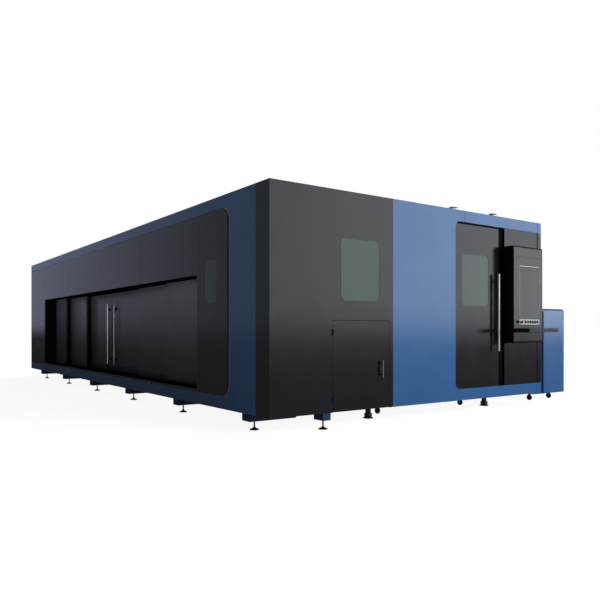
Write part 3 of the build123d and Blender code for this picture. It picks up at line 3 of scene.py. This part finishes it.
import bpy
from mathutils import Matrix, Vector


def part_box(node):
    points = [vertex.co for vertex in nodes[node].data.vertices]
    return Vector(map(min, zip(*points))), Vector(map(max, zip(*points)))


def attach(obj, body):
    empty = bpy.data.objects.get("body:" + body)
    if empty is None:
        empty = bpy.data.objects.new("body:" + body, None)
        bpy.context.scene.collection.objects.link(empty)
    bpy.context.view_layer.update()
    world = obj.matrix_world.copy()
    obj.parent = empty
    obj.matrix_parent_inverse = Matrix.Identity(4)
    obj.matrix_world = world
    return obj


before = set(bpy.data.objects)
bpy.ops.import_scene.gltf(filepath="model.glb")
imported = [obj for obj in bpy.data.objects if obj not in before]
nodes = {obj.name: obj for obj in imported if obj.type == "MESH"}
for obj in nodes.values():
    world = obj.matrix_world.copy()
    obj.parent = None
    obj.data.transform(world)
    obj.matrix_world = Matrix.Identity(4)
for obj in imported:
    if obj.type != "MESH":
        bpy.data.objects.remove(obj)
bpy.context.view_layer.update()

# The near left corner of the covers, seen from the operator's front, and the covers' length, in metres
NEAR_X, NEAR_Y, FOOT_HEIGHT = -2.584, -4.605, 0.160
LENGTH = 9.5
RIGHT, UP, TO_FRONT, TO_BACK = (1, 0, 0), (0, 0, 1), (0, -1, 0), (0, 1, 0)

# Sockets of a colour mix node
MIX_FACTOR, MIX_FIRST, MIX_SECOND, MIX_RESULT = 0, 6, 7, 2

WHITE = (1, 1, 1, 1)

# How strongly a gloss mirrors unless a paint says otherwise, and how rough the body colours under it are
SHEEN = 0.0095
PAINT_ROUGHNESS, TINT_ROUGHNESS = 0.6, 0.2

# Rounding of the edges in the shading, in metres
PAINT_EDGE, METAL_EDGE, PLASTIC_EDGE = 0.0025, 0.001, 0.0008
EDGE_SAMPLES = 4

# Fine relief: its depth in metres, and the strength of a paint's orange peel and of a metal's grain
RELIEF = 0.0002
PEEL, GRAIN = 0.25, 0.15

# Worn edges and their painted highlight begin where the rounded edge turns this far from the face, and are
# full at the second value
WEAR_GLINT_START, WEAR_GLINT_FULL = 0.995, 0.90


def tree(name):
    """A new material with an empty node tree, its object coordinates and its output node."""
    material = bpy.data.materials.new(name)
    material.use_nodes = True
    links = material.node_tree.links
    made = material.node_tree.nodes
    made.clear()
    output = made.new("ShaderNodeOutputMaterial")
    coords = made.new("ShaderNodeTexCoord").outputs["Object"]
    return material, made, links, coords, output


def noise(made, links, coords, scale, detail, stretch=None):
    """A noise value on the object's own coordinates, stretched along an axis where stretch is given."""
    texture = made.new("ShaderNodeTexNoise")
    texture.inputs["Scale"].default_value = scale
    texture.inputs["Detail"].default_value = detail
    if stretch:
        mapping = made.new("ShaderNodeMapping")
        mapping.inputs["Scale"].default_value = stretch
        links.new(coords, mapping.inputs["Vector"])
        coords = mapping.outputs["Vector"]
    links.new(coords, texture.inputs["Vector"])
    return texture.outputs["Fac"]


def span(made, links, value, low, high, start=0.3, end=0.7):
    """Maps a value between start and end to the range from low to high."""
    mapped = made.new("ShaderNodeMapRange")
    mapped.inputs["From Min"].default_value = start
    mapped.inputs["From Max"].default_value = end
    mapped.inputs["To Min"].default_value = low
    mapped.inputs["To Max"].default_value = high
    links.new(value, mapped.inputs["Value"])
    return mapped.outputs["Result"]


def tone(made, links, factor, first, second):
    """A colour between two by a factor. The first is a plain colour or another node's output."""
    mixed = made.new("ShaderNodeMix")
    mixed.data_type = "RGBA"
    links.new(factor, mixed.inputs[MIX_FACTOR])
    if isinstance(first, tuple):
        mixed.inputs[MIX_FIRST].default_value = (*first, 1)
    else:
        links.new(first, mixed.inputs[MIX_FIRST])
    mixed.inputs[MIX_SECOND].default_value = (*second, 1)
    return mixed.outputs[MIX_RESULT]


def cloudy(made, links, coords, colour, dark, pale, scale, detail):
    """A colour that drifts softly between a darker and a paler share of itself."""
    cloud = span(made, links, noise(made, links, coords, scale, detail), 0.0, 1.0)
    return tone(made, links, cloud, scaled(colour, dark), scaled(colour, pale))


def scaled(colour, factor):
    return tuple(min(channel * factor, 1.0) for channel in colour)


def rounded(made, radius):
    """The surface normal, with edges rounded by a radius."""
    soft = made.new("ShaderNodeBevel")
    soft.samples = EDGE_SAMPLES
    soft.inputs["Radius"].default_value = radius
    return soft.outputs["Normal"]


def bump(made, links, height, strength, normal):
    """A normal with fine relief on it."""
    relief = made.new("ShaderNodeBump")
    relief.inputs["Strength"].default_value = strength
    relief.inputs["Distance"].default_value = RELIEF
    links.new(height, relief.inputs["Height"])
    links.new(normal, relief.inputs["Normal"])
    return relief.outputs["Normal"]


def layered(made, links, factor, first, second):
    """Two shaders mixed by a plain number or by another node's output."""
    mix = made.new("ShaderNodeMixShader")
    if isinstance(factor, float):
        mix.inputs["Fac"].default_value = factor
    else:
        links.new(factor, mix.inputs["Fac"])
    links.new(first, mix.inputs[1])
    links.new(second, mix.inputs[2])
    return mix.outputs["Shader"]


def glazed(made, links, base, sheen, roughness, normal=None):
    """A body shader under a thin gloss that mirrors evenly from every side."""
    gloss = made.new("ShaderNodeBsdfPrincipled")
    gloss.inputs["Base Color"].default_value = WHITE
    gloss.inputs["Metallic"].default_value = 1.0
    links.new(roughness, gloss.inputs["Roughness"])
    if normal is not None:
        links.new(normal, gloss.inputs["Normal"])
    return layered(made, links, sheen, base.outputs["BSDF"], gloss.outputs["BSDF"])


def paint(name, colour, sheen=SHEEN, blur=0.16, wear_glint=1.6, painted_reflection_fall=None):
    """Powder coat: a soft body colour under a thin gloss, with orange peel, faint smears, and lighter edges
    that are worn paint and a painted highlight.

    wear_glint is the share of the colour at the rounded edges, which are worn paint and a painted highlight.
    painted_reflection_fall is a low height, a high height and the share of the colour that is left below the
    low
    one: a painted reflection that darkens the colour towards the bottom, where less light is mirrored.
    """
    material, made, links, coords, output = tree(name)
    soft = rounded(made, PAINT_EDGE)
    turn = made.new("ShaderNodeVectorMath")
    turn.operation = "DOT_PRODUCT"
    links.new(soft, turn.inputs[0])
    links.new(made.new("ShaderNodeNewGeometry").outputs["Normal"], turn.inputs[1])
    # Lighter edges: worn paint, with a painted highlight where the rounded edges would catch the light
    rim = span(made, links, turn.outputs["Value"], 1.0, 0.0, WEAR_GLINT_FULL, WEAR_GLINT_START)
    body = cloudy(made, links, coords, colour, dark=0.93, pale=1.06, scale=1.7, detail=3.0)
    # Painted reflection: below a given height the colour darkens towards a share of itself, standing in for
    # mirrored light that falls off lower down
    if painted_reflection_fall:
        low, high, left = painted_reflection_fall
        place = made.new("ShaderNodeSeparateXYZ")
        links.new(coords, place.inputs[0])
        reflection_loss = span(made, links, place.outputs["Z"], 1.0, 0.0, low, high)
        body = tone(made, links, reflection_loss, body, scaled(colour, left))
    body = tone(made, links, rim, body, scaled(colour, wear_glint))
    peel = bump(made, links, noise(made, links, coords, scale=240.0, detail=1.0), PEEL, soft)
    base = made.new("ShaderNodeBsdfPrincipled")
    base.inputs["Specular IOR Level"].default_value = 0.0
    base.inputs["Roughness"].default_value = PAINT_ROUGHNESS
    links.new(body, base.inputs["Base Color"])
    links.new(peel, base.inputs["Normal"])
    smear = span(made, links, noise(made, links, coords, scale=5.0, detail=5.0), blur * 0.85, blur * 1.2)
    links.new(glazed(made, links, base, sheen, smear, peel), output.inputs["Surface"])
    return material


def metal(name, colour, rough, scale, stretch=None):
    """Bare metal with its grain along one way and small changes in shine."""
    material, made, links, coords, output = tree(name)
    grain = noise(made, links, coords, scale, 4.0, stretch)
    shader = made.new("ShaderNodeBsdfPrincipled")
    shader.inputs["Metallic"].default_value = 1.0
    tint = cloudy(made, links, coords, colour, dark=0.85, pale=1.08, scale=7.0, detail=4.0)
    links.new(tint, shader.inputs["Base Color"])
    links.new(span(made, links, grain, rough * 0.8, rough * 1.25), shader.inputs["Roughness"])
    links.new(bump(made, links, grain, GRAIN, rounded(made, METAL_EDGE)), shader.inputs["Normal"])
    links.new(shader.outputs["BSDF"], output.inputs["Surface"])
    return material


def plastic(name, colour, rough, grain, specular, scale=300.0):
    """Moulded plastic or rubber with a fine texture."""
    material, made, links, coords, output = tree(name)
    fine = noise(made, links, coords, scale, 2.0)
    shader = made.new("ShaderNodeBsdfPrincipled")
    shader.inputs["Specular IOR Level"].default_value = specular
    tint = cloudy(made, links, coords, colour, dark=0.9, pale=1.12, scale=25.0, detail=3.0)
    links.new(tint, shader.inputs["Base Color"])
    links.new(span(made, links, fine, rough * 0.85, rough * 1.15), shader.inputs["Roughness"])
    links.new(bump(made, links, fine, grain, rounded(made, PLASTIC_EDGE)), shader.inputs["Normal"])
    links.new(shader.outputs["BSDF"], output.inputs["Surface"])
    return material


def tinted(name, colour, sheen, clear):
    """Acrylic or glass: a dark tint that lets a share of the light through, under an even gloss."""
    material, made, links, coords, output = tree(name)
    base = made.new("ShaderNodeBsdfPrincipled")
    base.inputs["Specular IOR Level"].default_value = 0.0
    base.inputs["Transmission Weight"].default_value = clear
    base.inputs["Roughness"].default_value = TINT_ROUGHNESS
    tint = cloudy(made, links, coords, colour, dark=0.95, pale=1.06, scale=2.2, detail=3.0)
    links.new(tint, base.inputs["Base Color"])
    smear = span(made, links, noise(made, links, coords, scale=9.0, detail=5.0), 0.07, 0.12)
    links.new(glazed(made, links, base, sheen, smear), output.inputs["Surface"])
    return material


# Linear body colours, under a gloss that adds about 0.01 to them where a pale floor is mirrored
BLUE = (0.0165, 0.069, 0.182)
DARK = (0.0034, 0.0031, 0.0042)
BLACK = (0.003, 0.003, 0.0034)

blue_paint = paint("blue_paint_coat", BLUE, sheen=0.0125, wear_glint=1.35)
cabinet_paint = paint("cabinet_paint_coat", scaled(BLUE, 0.88), sheen=0.0180, wear_glint=1.35)
# Painted light: the left side takes a lighter copy of the blue paint with a weaker gloss, set for the light
# that falls on that side
left_painted_light_blue = paint("left_painted_light_blue_coat", scaled(BLUE, 1.15), sheen=0.0105, wear_glint=1.35)
dark_paint = paint("dark_paint_coat", DARK, wear_glint=2.2)
side_paint = paint("side_paint_coat", DARK, sheen=0.0105, wear_glint=2.0)
# The leaves' pale body colour is their paint with a painted reflection in it: it stands in for the light they
# mirror, and darkens towards the bottom as that reflection falls off
leaf_paint_and_reflection = paint(
    "leaf_paint_and_reflection_coat", (0.185, 0.196, 0.225), sheen=0.0052, blur=0.2, wear_glint=1.2, painted_reflection_fall=(0.66, 1.42, 0.36),
)
black_paint = paint("black_paint_coat", BLACK, sheen=0.003, blur=0.3)
matt_paint = paint("matt_black_coat", (0.0016, 0.0016, 0.0019), sheen=0.0006, blur=0.4)
# The console's edges carry a strong painted highlight on top of their wear
console_paint = paint("console_paint_coat", (0.0055, 0.0055, 0.006), sheen=0.0112, blur=0.17, wear_glint=3.0)
grey_paint = paint("grey_paint_coat", (0.15, 0.155, 0.16), blur=0.3, wear_glint=1.3)
lining_paint = paint("lining_paint_coat", (0.005, 0.0045, 0.0042), sheen=0.005, blur=0.3, wear_glint=1.4)
tray_paint = paint("tray_paint_coat", (0.012, 0.012, 0.0125), sheen=0.0085, blur=0.22, wear_glint=1.8)
bed_paint = paint("bed_paint_coat", (0.11, 0.115, 0.12), sheen=0.008, blur=0.35, wear_glint=1.4)
block_paint = paint("base_paint_coat", (0.009, 0.026, 0.075), sheen=0.006, blur=0.3, wear_glint=1.5)
window_tint = tinted("window_tint", (0.0035, 0.026, 0.019), sheen=SHEEN, clear=0.03)
screen = tinted("screen_glass_dark", (0.008, 0.0085, 0.009), sheen=0.0105, clear=0.0)

# The grain of a brushed part runs along its length
UPRIGHT_GRAIN, LENGTHWAYS_GRAIN = (1, 1, 0.03), (1, 0.04, 1)
steel = metal("brushed_steel_pull", (0.2, 0.205, 0.21), 0.36, 140.0, UPRIGHT_GRAIN)
# Painted shade: darker copies of the pull steel stand in for the shade on the service door's pull and the far
# leaf's pull, and for the deeper shade on the near leaf's pull
half_shade_steel = metal("brushed_steel_half_shade_pull", (0.062, 0.063, 0.065), 0.36, 140.0, UPRIGHT_GRAIN)
deep_shade_steel = metal("brushed_steel_deep_shade_pull", (0.012, 0.0125, 0.014), 0.4, 140.0, UPRIGHT_GRAIN)
ground = metal("ground_steel_rail", (0.45, 0.46, 0.47), 0.3, 160.0, LENGTHWAYS_GRAIN)
mill = metal("mill_steel_sheet", (0.24, 0.235, 0.23), 0.5, 30.0)
zinc = metal("zinc_plated", (0.30, 0.31, 0.32), 0.42, 90.0)
dark_foot = metal("dark_plated", (0.014, 0.0145, 0.016), 0.5, 90.0)
trim_metal = metal("bezel_aluminium", (0.10, 0.102, 0.105), 0.3, 120.0)

black_plastic = plastic("black_plastic_moulded", (0.004, 0.006, 0.0055), 0.45, 0.3, 0.02, scale=500.0)
pale_plastic = plastic("pale_plate_moulded", (0.30, 0.365, 0.335), 0.5, 0.15, 0.08, scale=500.0)
red_plastic = plastic("red_plastic_moulded", (0.42, 0.012, 0.03), 0.35, 0.1, 0.15, scale=500.0)
rubber = plastic("black_rubber", (0.012, 0.013, 0.014), 0.7, 0.5, 0.1)
gasket_rubber = plastic("green_gasket_rubber", (0.006, 0.024, 0.019), 0.6, 0.4, 0.2)
painted_shade_look = plastic("cabinet_painted_shade_look", (0.005, 0.014, 0.034), 0.7, 0.4, 0.0)
bead_rubber = plastic("seam_bead_rubber", (0.004, 0.004, 0.005), 0.7, 0.5, 0.05)
window_rubber = plastic("window_bead_rubber", (0.012, 0.020, 0.018), 0.5, 0.4, 0.2)

BUTTONS = range(1, 7)
LOOKS = {
    blue_paint: ("front_surround", "front_header", "right_trim"),
    left_painted_light_blue: ("left_surround",),
    cabinet_paint: ("cooler_cabinet",),
    dark_paint: (
        "front_left_panel", "front_right_panel", "front_door", "service_door", "right_panels", "back_panels",
    ),
    side_paint: ("left_panels",),
    leaf_paint_and_reflection: ("near_leaf_1", "near_leaf_2", "near_leaf_3", "far_leaf_1", "far_leaf_2", "far_leaf_3"),
    black_paint: ("enclosure_frame", "door_tracks", "carriage"),
    matt_paint: ("front_door_frame", "service_hinges"),
    block_paint: ("base_frame",),
    grey_paint: ("roof", "gantry", "laser_source"),
    lining_paint: ("doorway_lining",),
    bed_paint: ("bed_frame",),
    console_paint: ("console_housing",),
    tray_paint: ("keyboard_tray",),
    window_tint: ("front_door_window", "wall_windows"),
    steel: ("front_door_handle",),
    half_shade_steel: ("service_door_handle", "far_leaf_handle"),
    deep_shade_steel: ("near_leaf_handle",),
    ground: ("guide_rails", "cutting_head"),
    mill: ("slats", "slag_trays"),
    dark_foot: ("bed_feet", "side_feet", "cooler_fork_left", "cooler_fork_right"),
    black_plastic: ("selector_knob", *(f"push_button_{number}" for number in BUTTONS)),
    pale_plastic: ("button_plate",),
    red_plastic: ("emergency_stop",),
    gasket_rubber: ("left_gasket",),
    rubber: (
        "cooler_front_wheel_left", "cooler_front_wheel_right",
        "cooler_rear_wheel_left", "cooler_rear_wheel_right",
    ),
    screen: ("console_screen",),
}
for material, names in LOOKS.items():
    for name in names:
        for place in nodes[name].material_slots:
            place.material = material


def front(x, z, y=0.0):
    """A point of the front wall, from millimetres right of and above the near left corner of the covers."""
    return (NEAR_X + x / 1000, NEAR_Y + y / 1000, FOOT_HEIGHT + z / 1000)


def piece(name, body, material, points, faces):
    """A mesh piece in metres that rides on a body and takes its finish from a slot."""
    mesh = bpy.data.meshes.new(name)
    mesh.from_pydata(points, [], faces)
    mesh.validate()
    mesh.materials.append(material)
    made_object = bpy.data.objects.new(name, mesh)
    bpy.context.collection.objects.link(made_object)
    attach(made_object, body)
    return made_object


def swept(path, profile, closed):
    """Points and faces of a profile swept along a path on a front wall.

    Each path entry is a point with its sideways direction. The profile's second value stands out of the wall.
    """
    count, size = len(path), len(profile)
    points = [
        tuple(Vector(point) + Vector(side) * aside + Vector(TO_FRONT) * proud)
        for point, side in path
        for aside, proud in profile
    ]
    faces = []
    for i in range(count if closed else count - 1):
        j = (i + 1) % count
        for k in range(size):
            m = (k + 1) % size
            faces.append((i * size + k, i * size + m, j * size + m, j * size + k))
    if not closed:
        faces += [tuple(range(size))[::-1], tuple((count - 1) * size + k for k in range(size))]
    return points, faces


def ring_path(low, high, face, radius, steps):
    """A closed rectangle with round corners in a plane of the front, with each point's outward direction."""
    path = []
    corners = ((high.x, high.z, 0), (low.x, high.z, 90), (low.x, low.z, 180), (high.x, low.z, 270))
    for x, z, turn in corners:
        x -= radius if x == high.x else -radius
        z -= radius if z == high.z else -radius
        centre = Vector((0, face, 0)) + Vector(RIGHT) * x + Vector(UP) * z
        for step in range(steps):
            angle = math.radians(turn + 90 * step / (steps - 1))
            side = Vector(RIGHT) * math.cos(angle) + Vector(UP) * math.sin(angle)
            path.append((tuple(centre + side * radius), tuple(side)))
    return path


# A bead's section: aside and proud, as shares of its half width and its height
ROUND_BEAD = ((-1, 0), (-0.85, 0.55), (-0.4, 0.92), (0.4, 0.92), (0.85, 0.55), (1, 0), (1, -0.6), (-1, -0.6))


def bead_profile(half, height):
    return [(aside * half, proud * height) for aside, proud in ROUND_BEAD]


# The front covers in millimetres: the left window, the joints and the heights of header and skirt
WINDOW_LEFT, WINDOW_RIGHT, WINDOW_LOW, WINDOW_HIGH = 841.3, 1353.7, 1104.3, 1731.7
HEADER_JOINT, WRAP_JOINT = 2693.4, 4116.8
SKIRT_HIGH, HEADER_LOW, HEADER_HIGH = 132, 2068, 2200

# Beads in metres: half width and height, and the corner radius of the windows
WINDOW_BEAD, SEAM_BEAD = (0.005, 0.0016), (0.0022, 0.0012)
BUTTON_BEAD, STRIP_BEAD = (0.0042, 0.002), (0.031, 0.0022)
WINDOW_RADIUS = 0.0597
CORNER_STEPS, BUTTON_STEPS = 7, 24
PANE_DEPTH = 0.001
BUTTON_RIM = 0.0048


def window_bead(name, low, high, body):
    """The rubber bead round a window in the front, seated on the joint between pane and panel."""
    path = ring_path(low, high, low.y - PANE_DEPTH, WINDOW_RADIUS, CORNER_STEPS)
    points, faces = swept(path, bead_profile(*WINDOW_BEAD), True)
    piece(name, body, window_rubber, points, faces)


def seam_bead(name, x, z_low, z_high):
    """A thin sealing bead that runs up a joint of the front covers."""
    start, end = front(x, z_low), front(x, z_high)
    middle = (start[0], start[1], (start[2] + end[2]) / 2)
    points, faces = swept([(point, RIGHT) for point in (start, middle, end)], bead_profile(*SEAM_BEAD), False)
    piece(name, "machine", bead_rubber, points, faces)


window_low = Vector(front(WINDOW_LEFT, WINDOW_LOW, 1000 * PANE_DEPTH))
window_high = Vector(front(WINDOW_RIGHT, WINDOW_HIGH, 1000 * PANE_DEPTH))
window_bead("front_window_bead", window_low, window_high, "machine")
window_bead("door_window_bead", *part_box("front_door_window"), "front_door")

# The wrap joint's bead is cut 1 mm short where it meets header and skirt
for name, x, z_low, z_high in (
    ("header_joint_bead", HEADER_JOINT, HEADER_LOW, HEADER_HIGH),
    ("wrap_joint_bead_top", WRAP_JOINT, HEADER_LOW, HEADER_HIGH),
    ("wrap_joint_bead_middle", WRAP_JOINT, SKIRT_HIGH + 1, HEADER_LOW - 1),
    ("wrap_joint_bead_low", WRAP_JOINT, 0, SKIRT_HIGH),
):
    seam_bead(name, x, z_low, z_high)

plate_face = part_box("button_plate")[0].y
for number in BUTTONS:
    low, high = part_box(f"push_button_{number}")
    middle = Vector(((low.x + high.x) / 2, plate_face, (low.z + high.z) / 2))
    reach = (high.x - low.x) / 2 + BUTTON_RIM
    path = []
    for step in range(BUTTON_STEPS):
        angle = math.radians(360 // BUTTON_STEPS * step)
        side = Vector((math.cos(angle), 0, math.sin(angle)))
        path.append((tuple(middle + side * reach), tuple(side)))
    points, faces = swept(path, bead_profile(*BUTTON_BEAD), True)
    piece(f"button_bezel_{number}", "machine", black_plastic, points, faces)

# The screen's thin frame: its section in metres, its corner radius and how deep it sits in the screen's face
BEZEL = [(0.004, -0.0008), (0.004, 0.0022), (-0.0005, 0.0030), (-0.0015, 0.0012), (-0.0015, -0.0008)]
BEZEL_RADIUS, BEZEL_DEPTH, BEZEL_STEPS = 0.004, 0.0005, 4
low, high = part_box("console_screen")
points, faces = swept(ring_path(low, high, low.y + BEZEL_DEPTH, BEZEL_RADIUS, BEZEL_STEPS), BEZEL, True)
piece("screen_bezel", "machine", trim_metal, points, faces)

# The dark strip on the cabinet's front is a painted shade beside the machine's corner, in millimetres from
# the corner of the covers
STRIP_X, STRIP_Y, STRIP_HEIGHTS = 4617, 260, (-52, 510, 1071)
path = [(front(STRIP_X, z, STRIP_Y), RIGHT) for z in STRIP_HEIGHTS]
points, faces = swept(path, bead_profile(*STRIP_BEAD), False)
piece("cabinet_painted_shade_strip", "machine", painted_shade_look, points, faces)

# A screw head's rings from its foot in the panel to its socket: shares of its radius and of its height
SCREW_RINGS = ((1.0, -0.2), (1.0, 0.35), (0.8, 0.85), (0.5, 1.0), (0.42, 0.45))
SCREW_SIDES = 12
SOCKET_REACH = 0.42


def screw_heads(name, places, out, radius=0.009, height=0.0042):
    """Domed screw heads with a hexagon socket, standing on their faces."""
    points, faces = [], []
    side = Vector(RIGHT if out == UP else UP)
    out = Vector(out)
    other = out.cross(side)
    for place in places:
        start = len(points)
        for reach, rise in SCREW_RINGS:
            for k in range(SCREW_SIDES):
                angle = 2 * math.pi * k / SCREW_SIDES
                pull = reach * radius
                if reach == SOCKET_REACH:
                    pull *= 1 / math.cos(((k % 2) - 0.5) * math.pi / 6) * 0.9
                turn = side * math.cos(angle) * pull + other * math.sin(angle) * pull
                points.append(tuple(Vector(place) + turn + out * rise * height))
        for ring in range(len(SCREW_RINGS) - 1):
            for k in range(SCREW_SIDES):
                m = (k + 1) % SCREW_SIDES
                a, b = start + ring * SCREW_SIDES, start + (ring + 1) * SCREW_SIDES
                faces.append((a + k, a + m, b + m, b + k))
        last = start + (len(SCREW_RINGS) - 1) * SCREW_SIDES
        faces.append(tuple(last + k for k in range(SCREW_SIDES)))
        faces.append(tuple(start + k for k in range(SCREW_SIDES))[::-1])
    piece(name, "machine", zinc, points, faces)


SCREW_INSET = 0.03
RIGHT_PANELS, RIGHT_PITCH, RIGHT_SHARES = 5, 1.9, (0.04, 0.35, 0.65, 0.96)
BACK_PANELS, BACK_PITCH, BACK_START, BACK_SHARES = 3, 1.37, 0.04, (0.05, 0.5, 0.95)
ROOF_PANELS, ROOF_PITCH, ROOF_START, ROOF_SHARES = 5, 1.88, 0.06, (0.05, 0.5, 0.95)
ROOF_ROWS, ROOF_TOP = (0.09, 4.1), 2.36

low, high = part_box("right_panels")
places = []
for index in range(RIGHT_PANELS):
    for share in RIGHT_SHARES:
        y = NEAR_Y + RIGHT_PITCH * (index + share)
        places += [(high.x, y, low.z + SCREW_INSET), (high.x, y, high.z - SCREW_INSET)]
screw_heads("right_panel_screws", places, RIGHT)

low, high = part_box("back_panels")
wall = NEAR_Y + LENGTH
places = []
for index in range(BACK_PANELS):
    for share in BACK_SHARES:
        x = NEAR_X + BACK_START + BACK_PITCH * (index + share)
        places += [(x, wall, low.z + SCREW_INSET), (x, wall, high.z - SCREW_INSET)]

# The flanges of the two dust spigots: millimetres from the corner of the covers, then metres
SPIGOTS, SPIGOT_HEIGHT, FLANGE_REACH, FLANGE_PROUD, FLANGE_SCREWS = (1795, 2395), 0.58, 0.141, 0.003, 8
for x in SPIGOTS:
    for k in range(FLANGE_SCREWS):
        angle = math.radians(22.5 + 45 * k)
        reach_x, reach_z = FLANGE_REACH * math.cos(angle), FLANGE_REACH * math.sin(angle)
        places.append((NEAR_X + x / 1000 + reach_x, wall + FLANGE_PROUD, SPIGOT_HEIGHT + reach_z))
screw_heads("back_panel_screws", places, TO_BACK, radius=0.007, height=0.0035)

places = []
for index in range(ROOF_PANELS):
    for share in ROOF_SHARES:
        y = NEAR_Y + ROOF_START + ROOF_PITCH * (index + share)
        places += [(NEAR_X + row, y, ROOF_TOP) for row in ROOF_ROWS]
screw_heads("roof_screws", places, UP)

# The service door's hinges, in millimetres: two screws each, above and below the middle
HINGE_X, HINGE_PROUD, HINGES, HINGE_SPREAD = 728, 2, (130, 790), 20
places = [front(HINGE_X, z + dz, -HINGE_PROUD) for z in HINGES for dz in (-HINGE_SPREAD, HINGE_SPREAD)]
screw_heads("hinge_screws", places, TO_FRONT, radius=0.0032, height=0.0016)

# The floor: its size, the glow that the camera sees, and its share of the look near the object and far off
FLOOR_SIZE = 400
FLOOR_GLOW, NEAR_SHARE, FAR_SHARE, NEAR_REACH, FAR_REACH = 1.15, 0.80, 0.872, 7.0, 24.0


def larger(made, links, first, second):
    """The larger of two values."""
    node = made.new("ShaderNodeMath")
    node.operation = "MAXIMUM"
    links.new(first, node.inputs[0])
    links.new(second, node.inputs[1])
    return node.outputs["Value"]


def floor_material():
    """A pale matt floor that the camera and reflections see near white, with the object's shadow kept."""
    material, made, links, coords, output = tree("pale_floor")
    cloud = span(made, links, noise(made, links, coords, scale=0.6, detail=3.0), 0.0, 1.0)
    matt = made.new("ShaderNodeBsdfDiffuse")
    links.new(tone(made, links, cloud, (0.79, 0.79, 0.79), (0.81, 0.81, 0.81)), matt.inputs["Color"])
    glow = made.new("ShaderNodeEmission")
    glow.inputs["Strength"].default_value = FLOOR_GLOW
    ray = made.new("ShaderNodeLightPath").outputs
    away = made.new("ShaderNodeVectorMath")
    away.operation = "LENGTH"
    links.new(coords, away.inputs[0])
    share = made.new("ShaderNodeMath")
    share.operation = "MULTIPLY"
    links.new(larger(made, links, ray["Is Camera Ray"], ray["Is Glossy Ray"]), share.inputs[0])
    reach = span(made, links, away.outputs["Value"], NEAR_SHARE, FAR_SHARE, NEAR_REACH, FAR_REACH)
    links.new(reach, share.inputs[1])
    look = layered(made, links, share.outputs["Value"], matt.outputs["BSDF"], glow.outputs["Emission"])
    links.new(look, output.inputs["Surface"])
    return material


bpy.ops.mesh.primitive_plane_add(size=FLOOR_SIZE, location=(0, 0, 0))
floor = bpy.context.object
floor.name = "floor"
floor.data.materials.append(floor_material())


def white_room():
    """A world that is white to the camera, gloss and glass, and only a faint light to all else."""
    world = bpy.data.worlds.new("studio")
    bpy.context.scene.world = world
    world.use_nodes = True
    made, links = world.node_tree.nodes, world.node_tree.links
    made.clear()
    output = made.new("ShaderNodeOutputWorld")
    seen, other = made.new("ShaderNodeBackground"), made.new("ShaderNodeBackground")
    seen.inputs["Strength"].default_value = 1.0
    seen.inputs["Color"].default_value = WHITE
    other.inputs["Strength"].default_value = 0.10
    ray = made.new("ShaderNodeLightPath").outputs
    either = larger(made, links, ray["Is Camera Ray"], ray["Is Glossy Ray"])
    share = larger(made, links, either, ray["Is Transmission Ray"])
    look = layered(made, links, share, other.outputs["Background"], seen.outputs["Background"])
    links.new(look, output.inputs["Surface"])


white_room()


def area_light(name, width, height, energy):
    """A rectangular light that the camera doesn't see."""
    data = bpy.data.lights.new(name, "AREA")
    data.shape = "RECTANGLE"
    data.size, data.size_y = width, height
    data.energy = energy
    light = bpy.data.objects.new(name, data)
    light.visible_camera = False
    bpy.context.collection.objects.link(light)
    return light


# The far lights: their lower edge, their height and their distance from the middle, in metres
LIGHT_LOW, LIGHT_RISE, LIGHT_REACH = 0.97, 24.0, 60.0


def far_light(name, first, last, radiance, colour):
    """A tall far light between two bearings in degrees from -Y towards +X, that only the gloss mirrors."""
    bearings = (math.radians(first), math.radians(last))
    ends = [Vector((math.sin(bearing), -math.cos(bearing), 0)) * LIGHT_REACH for bearing in bearings]
    width = (ends[1] - ends[0]).length
    middle = (ends[0] + ends[1]) / 2
    light = area_light(name, width, LIGHT_RISE, radiance * math.pi * width * LIGHT_RISE)
    light.data.color = colour
    light.location = middle + Vector((0, 0, LIGHT_LOW + LIGHT_RISE / 2))
    light.rotation_euler = middle.to_track_quat("Z", "Y").to_euler()
    light.visible_diffuse = False


COOL, BLUISH = (0.95, 0.98, 1.04), (0.86, 0.95, 1.29)
FRONT_LIGHTS = ((24, 33, 7.2), (33, 40, 8.8), (40, 47, 10.4), (47, 53, 12.2), (53, 66, 14.0))
LEFT_LIGHTS = (
    (166, 174, 13.0), (162, 166, 8.6), (158, 162, 5.5), (154, 158, 3.5), (150, 154, 2.2), (140, 150, 1.2),
)
for first, last, radiance in FRONT_LIGHTS:
    far_light(f"front_{first}", first, last, radiance, COOL)
for first, last, radiance in LEFT_LIGHTS:
    far_light(f"left_{first}", -last, -first, radiance, BLUISH)

AIM = (0, 0, 1.2)
SOFT_SIZE = 12


def soft_light(name, place, share):
    """A light for the body colours only, aimed at the machine. share is what a wall that faces it gets."""
    away = Vector(place) - Vector(AIM)
    light = area_light(name, SOFT_SIZE, SOFT_SIZE, share * math.pi * math.pi * away.length_squared)
    light.location = place
    light.rotation_euler = away.to_track_quat("Z", "Y").to_euler()
    light.visible_glossy = False


soft_light("key", (10, -26, 9), 1.05)
soft_light("back_fill", (14, 22, 12), 0.7)

TOP_WIDTH, TOP_LENGTH, TOP_HEIGHT, TOP_RADIANCE = 9, 13, 9, 0.5
top = area_light("top_soft", TOP_WIDTH, TOP_LENGTH, TOP_RADIANCE * math.pi * TOP_WIDTH * TOP_LENGTH)
top.location = (0, 0, TOP_HEIGHT)
top.visible_glossy = False

# The camera stands level and looks to the right of the machine's length, at the photograph's viewing angle
camera_data = bpy.data.cameras.new("camera")
camera_data.sensor_width = 36
camera_data.lens = 37.43
camera_data.shift_y = 0.051
camera_data.clip_end = 500
camera = bpy.data.objects.new("camera", camera_data)
camera.location = (-5.654, -9.405, 0.967)
camera.rotation_euler = (math.radians(90), 0, math.radians(-35.415))
bpy.context.collection.objects.link(camera)
bpy.context.scene.camera = camera
bpy.context.scene.view_settings.view_transform = "Standard"
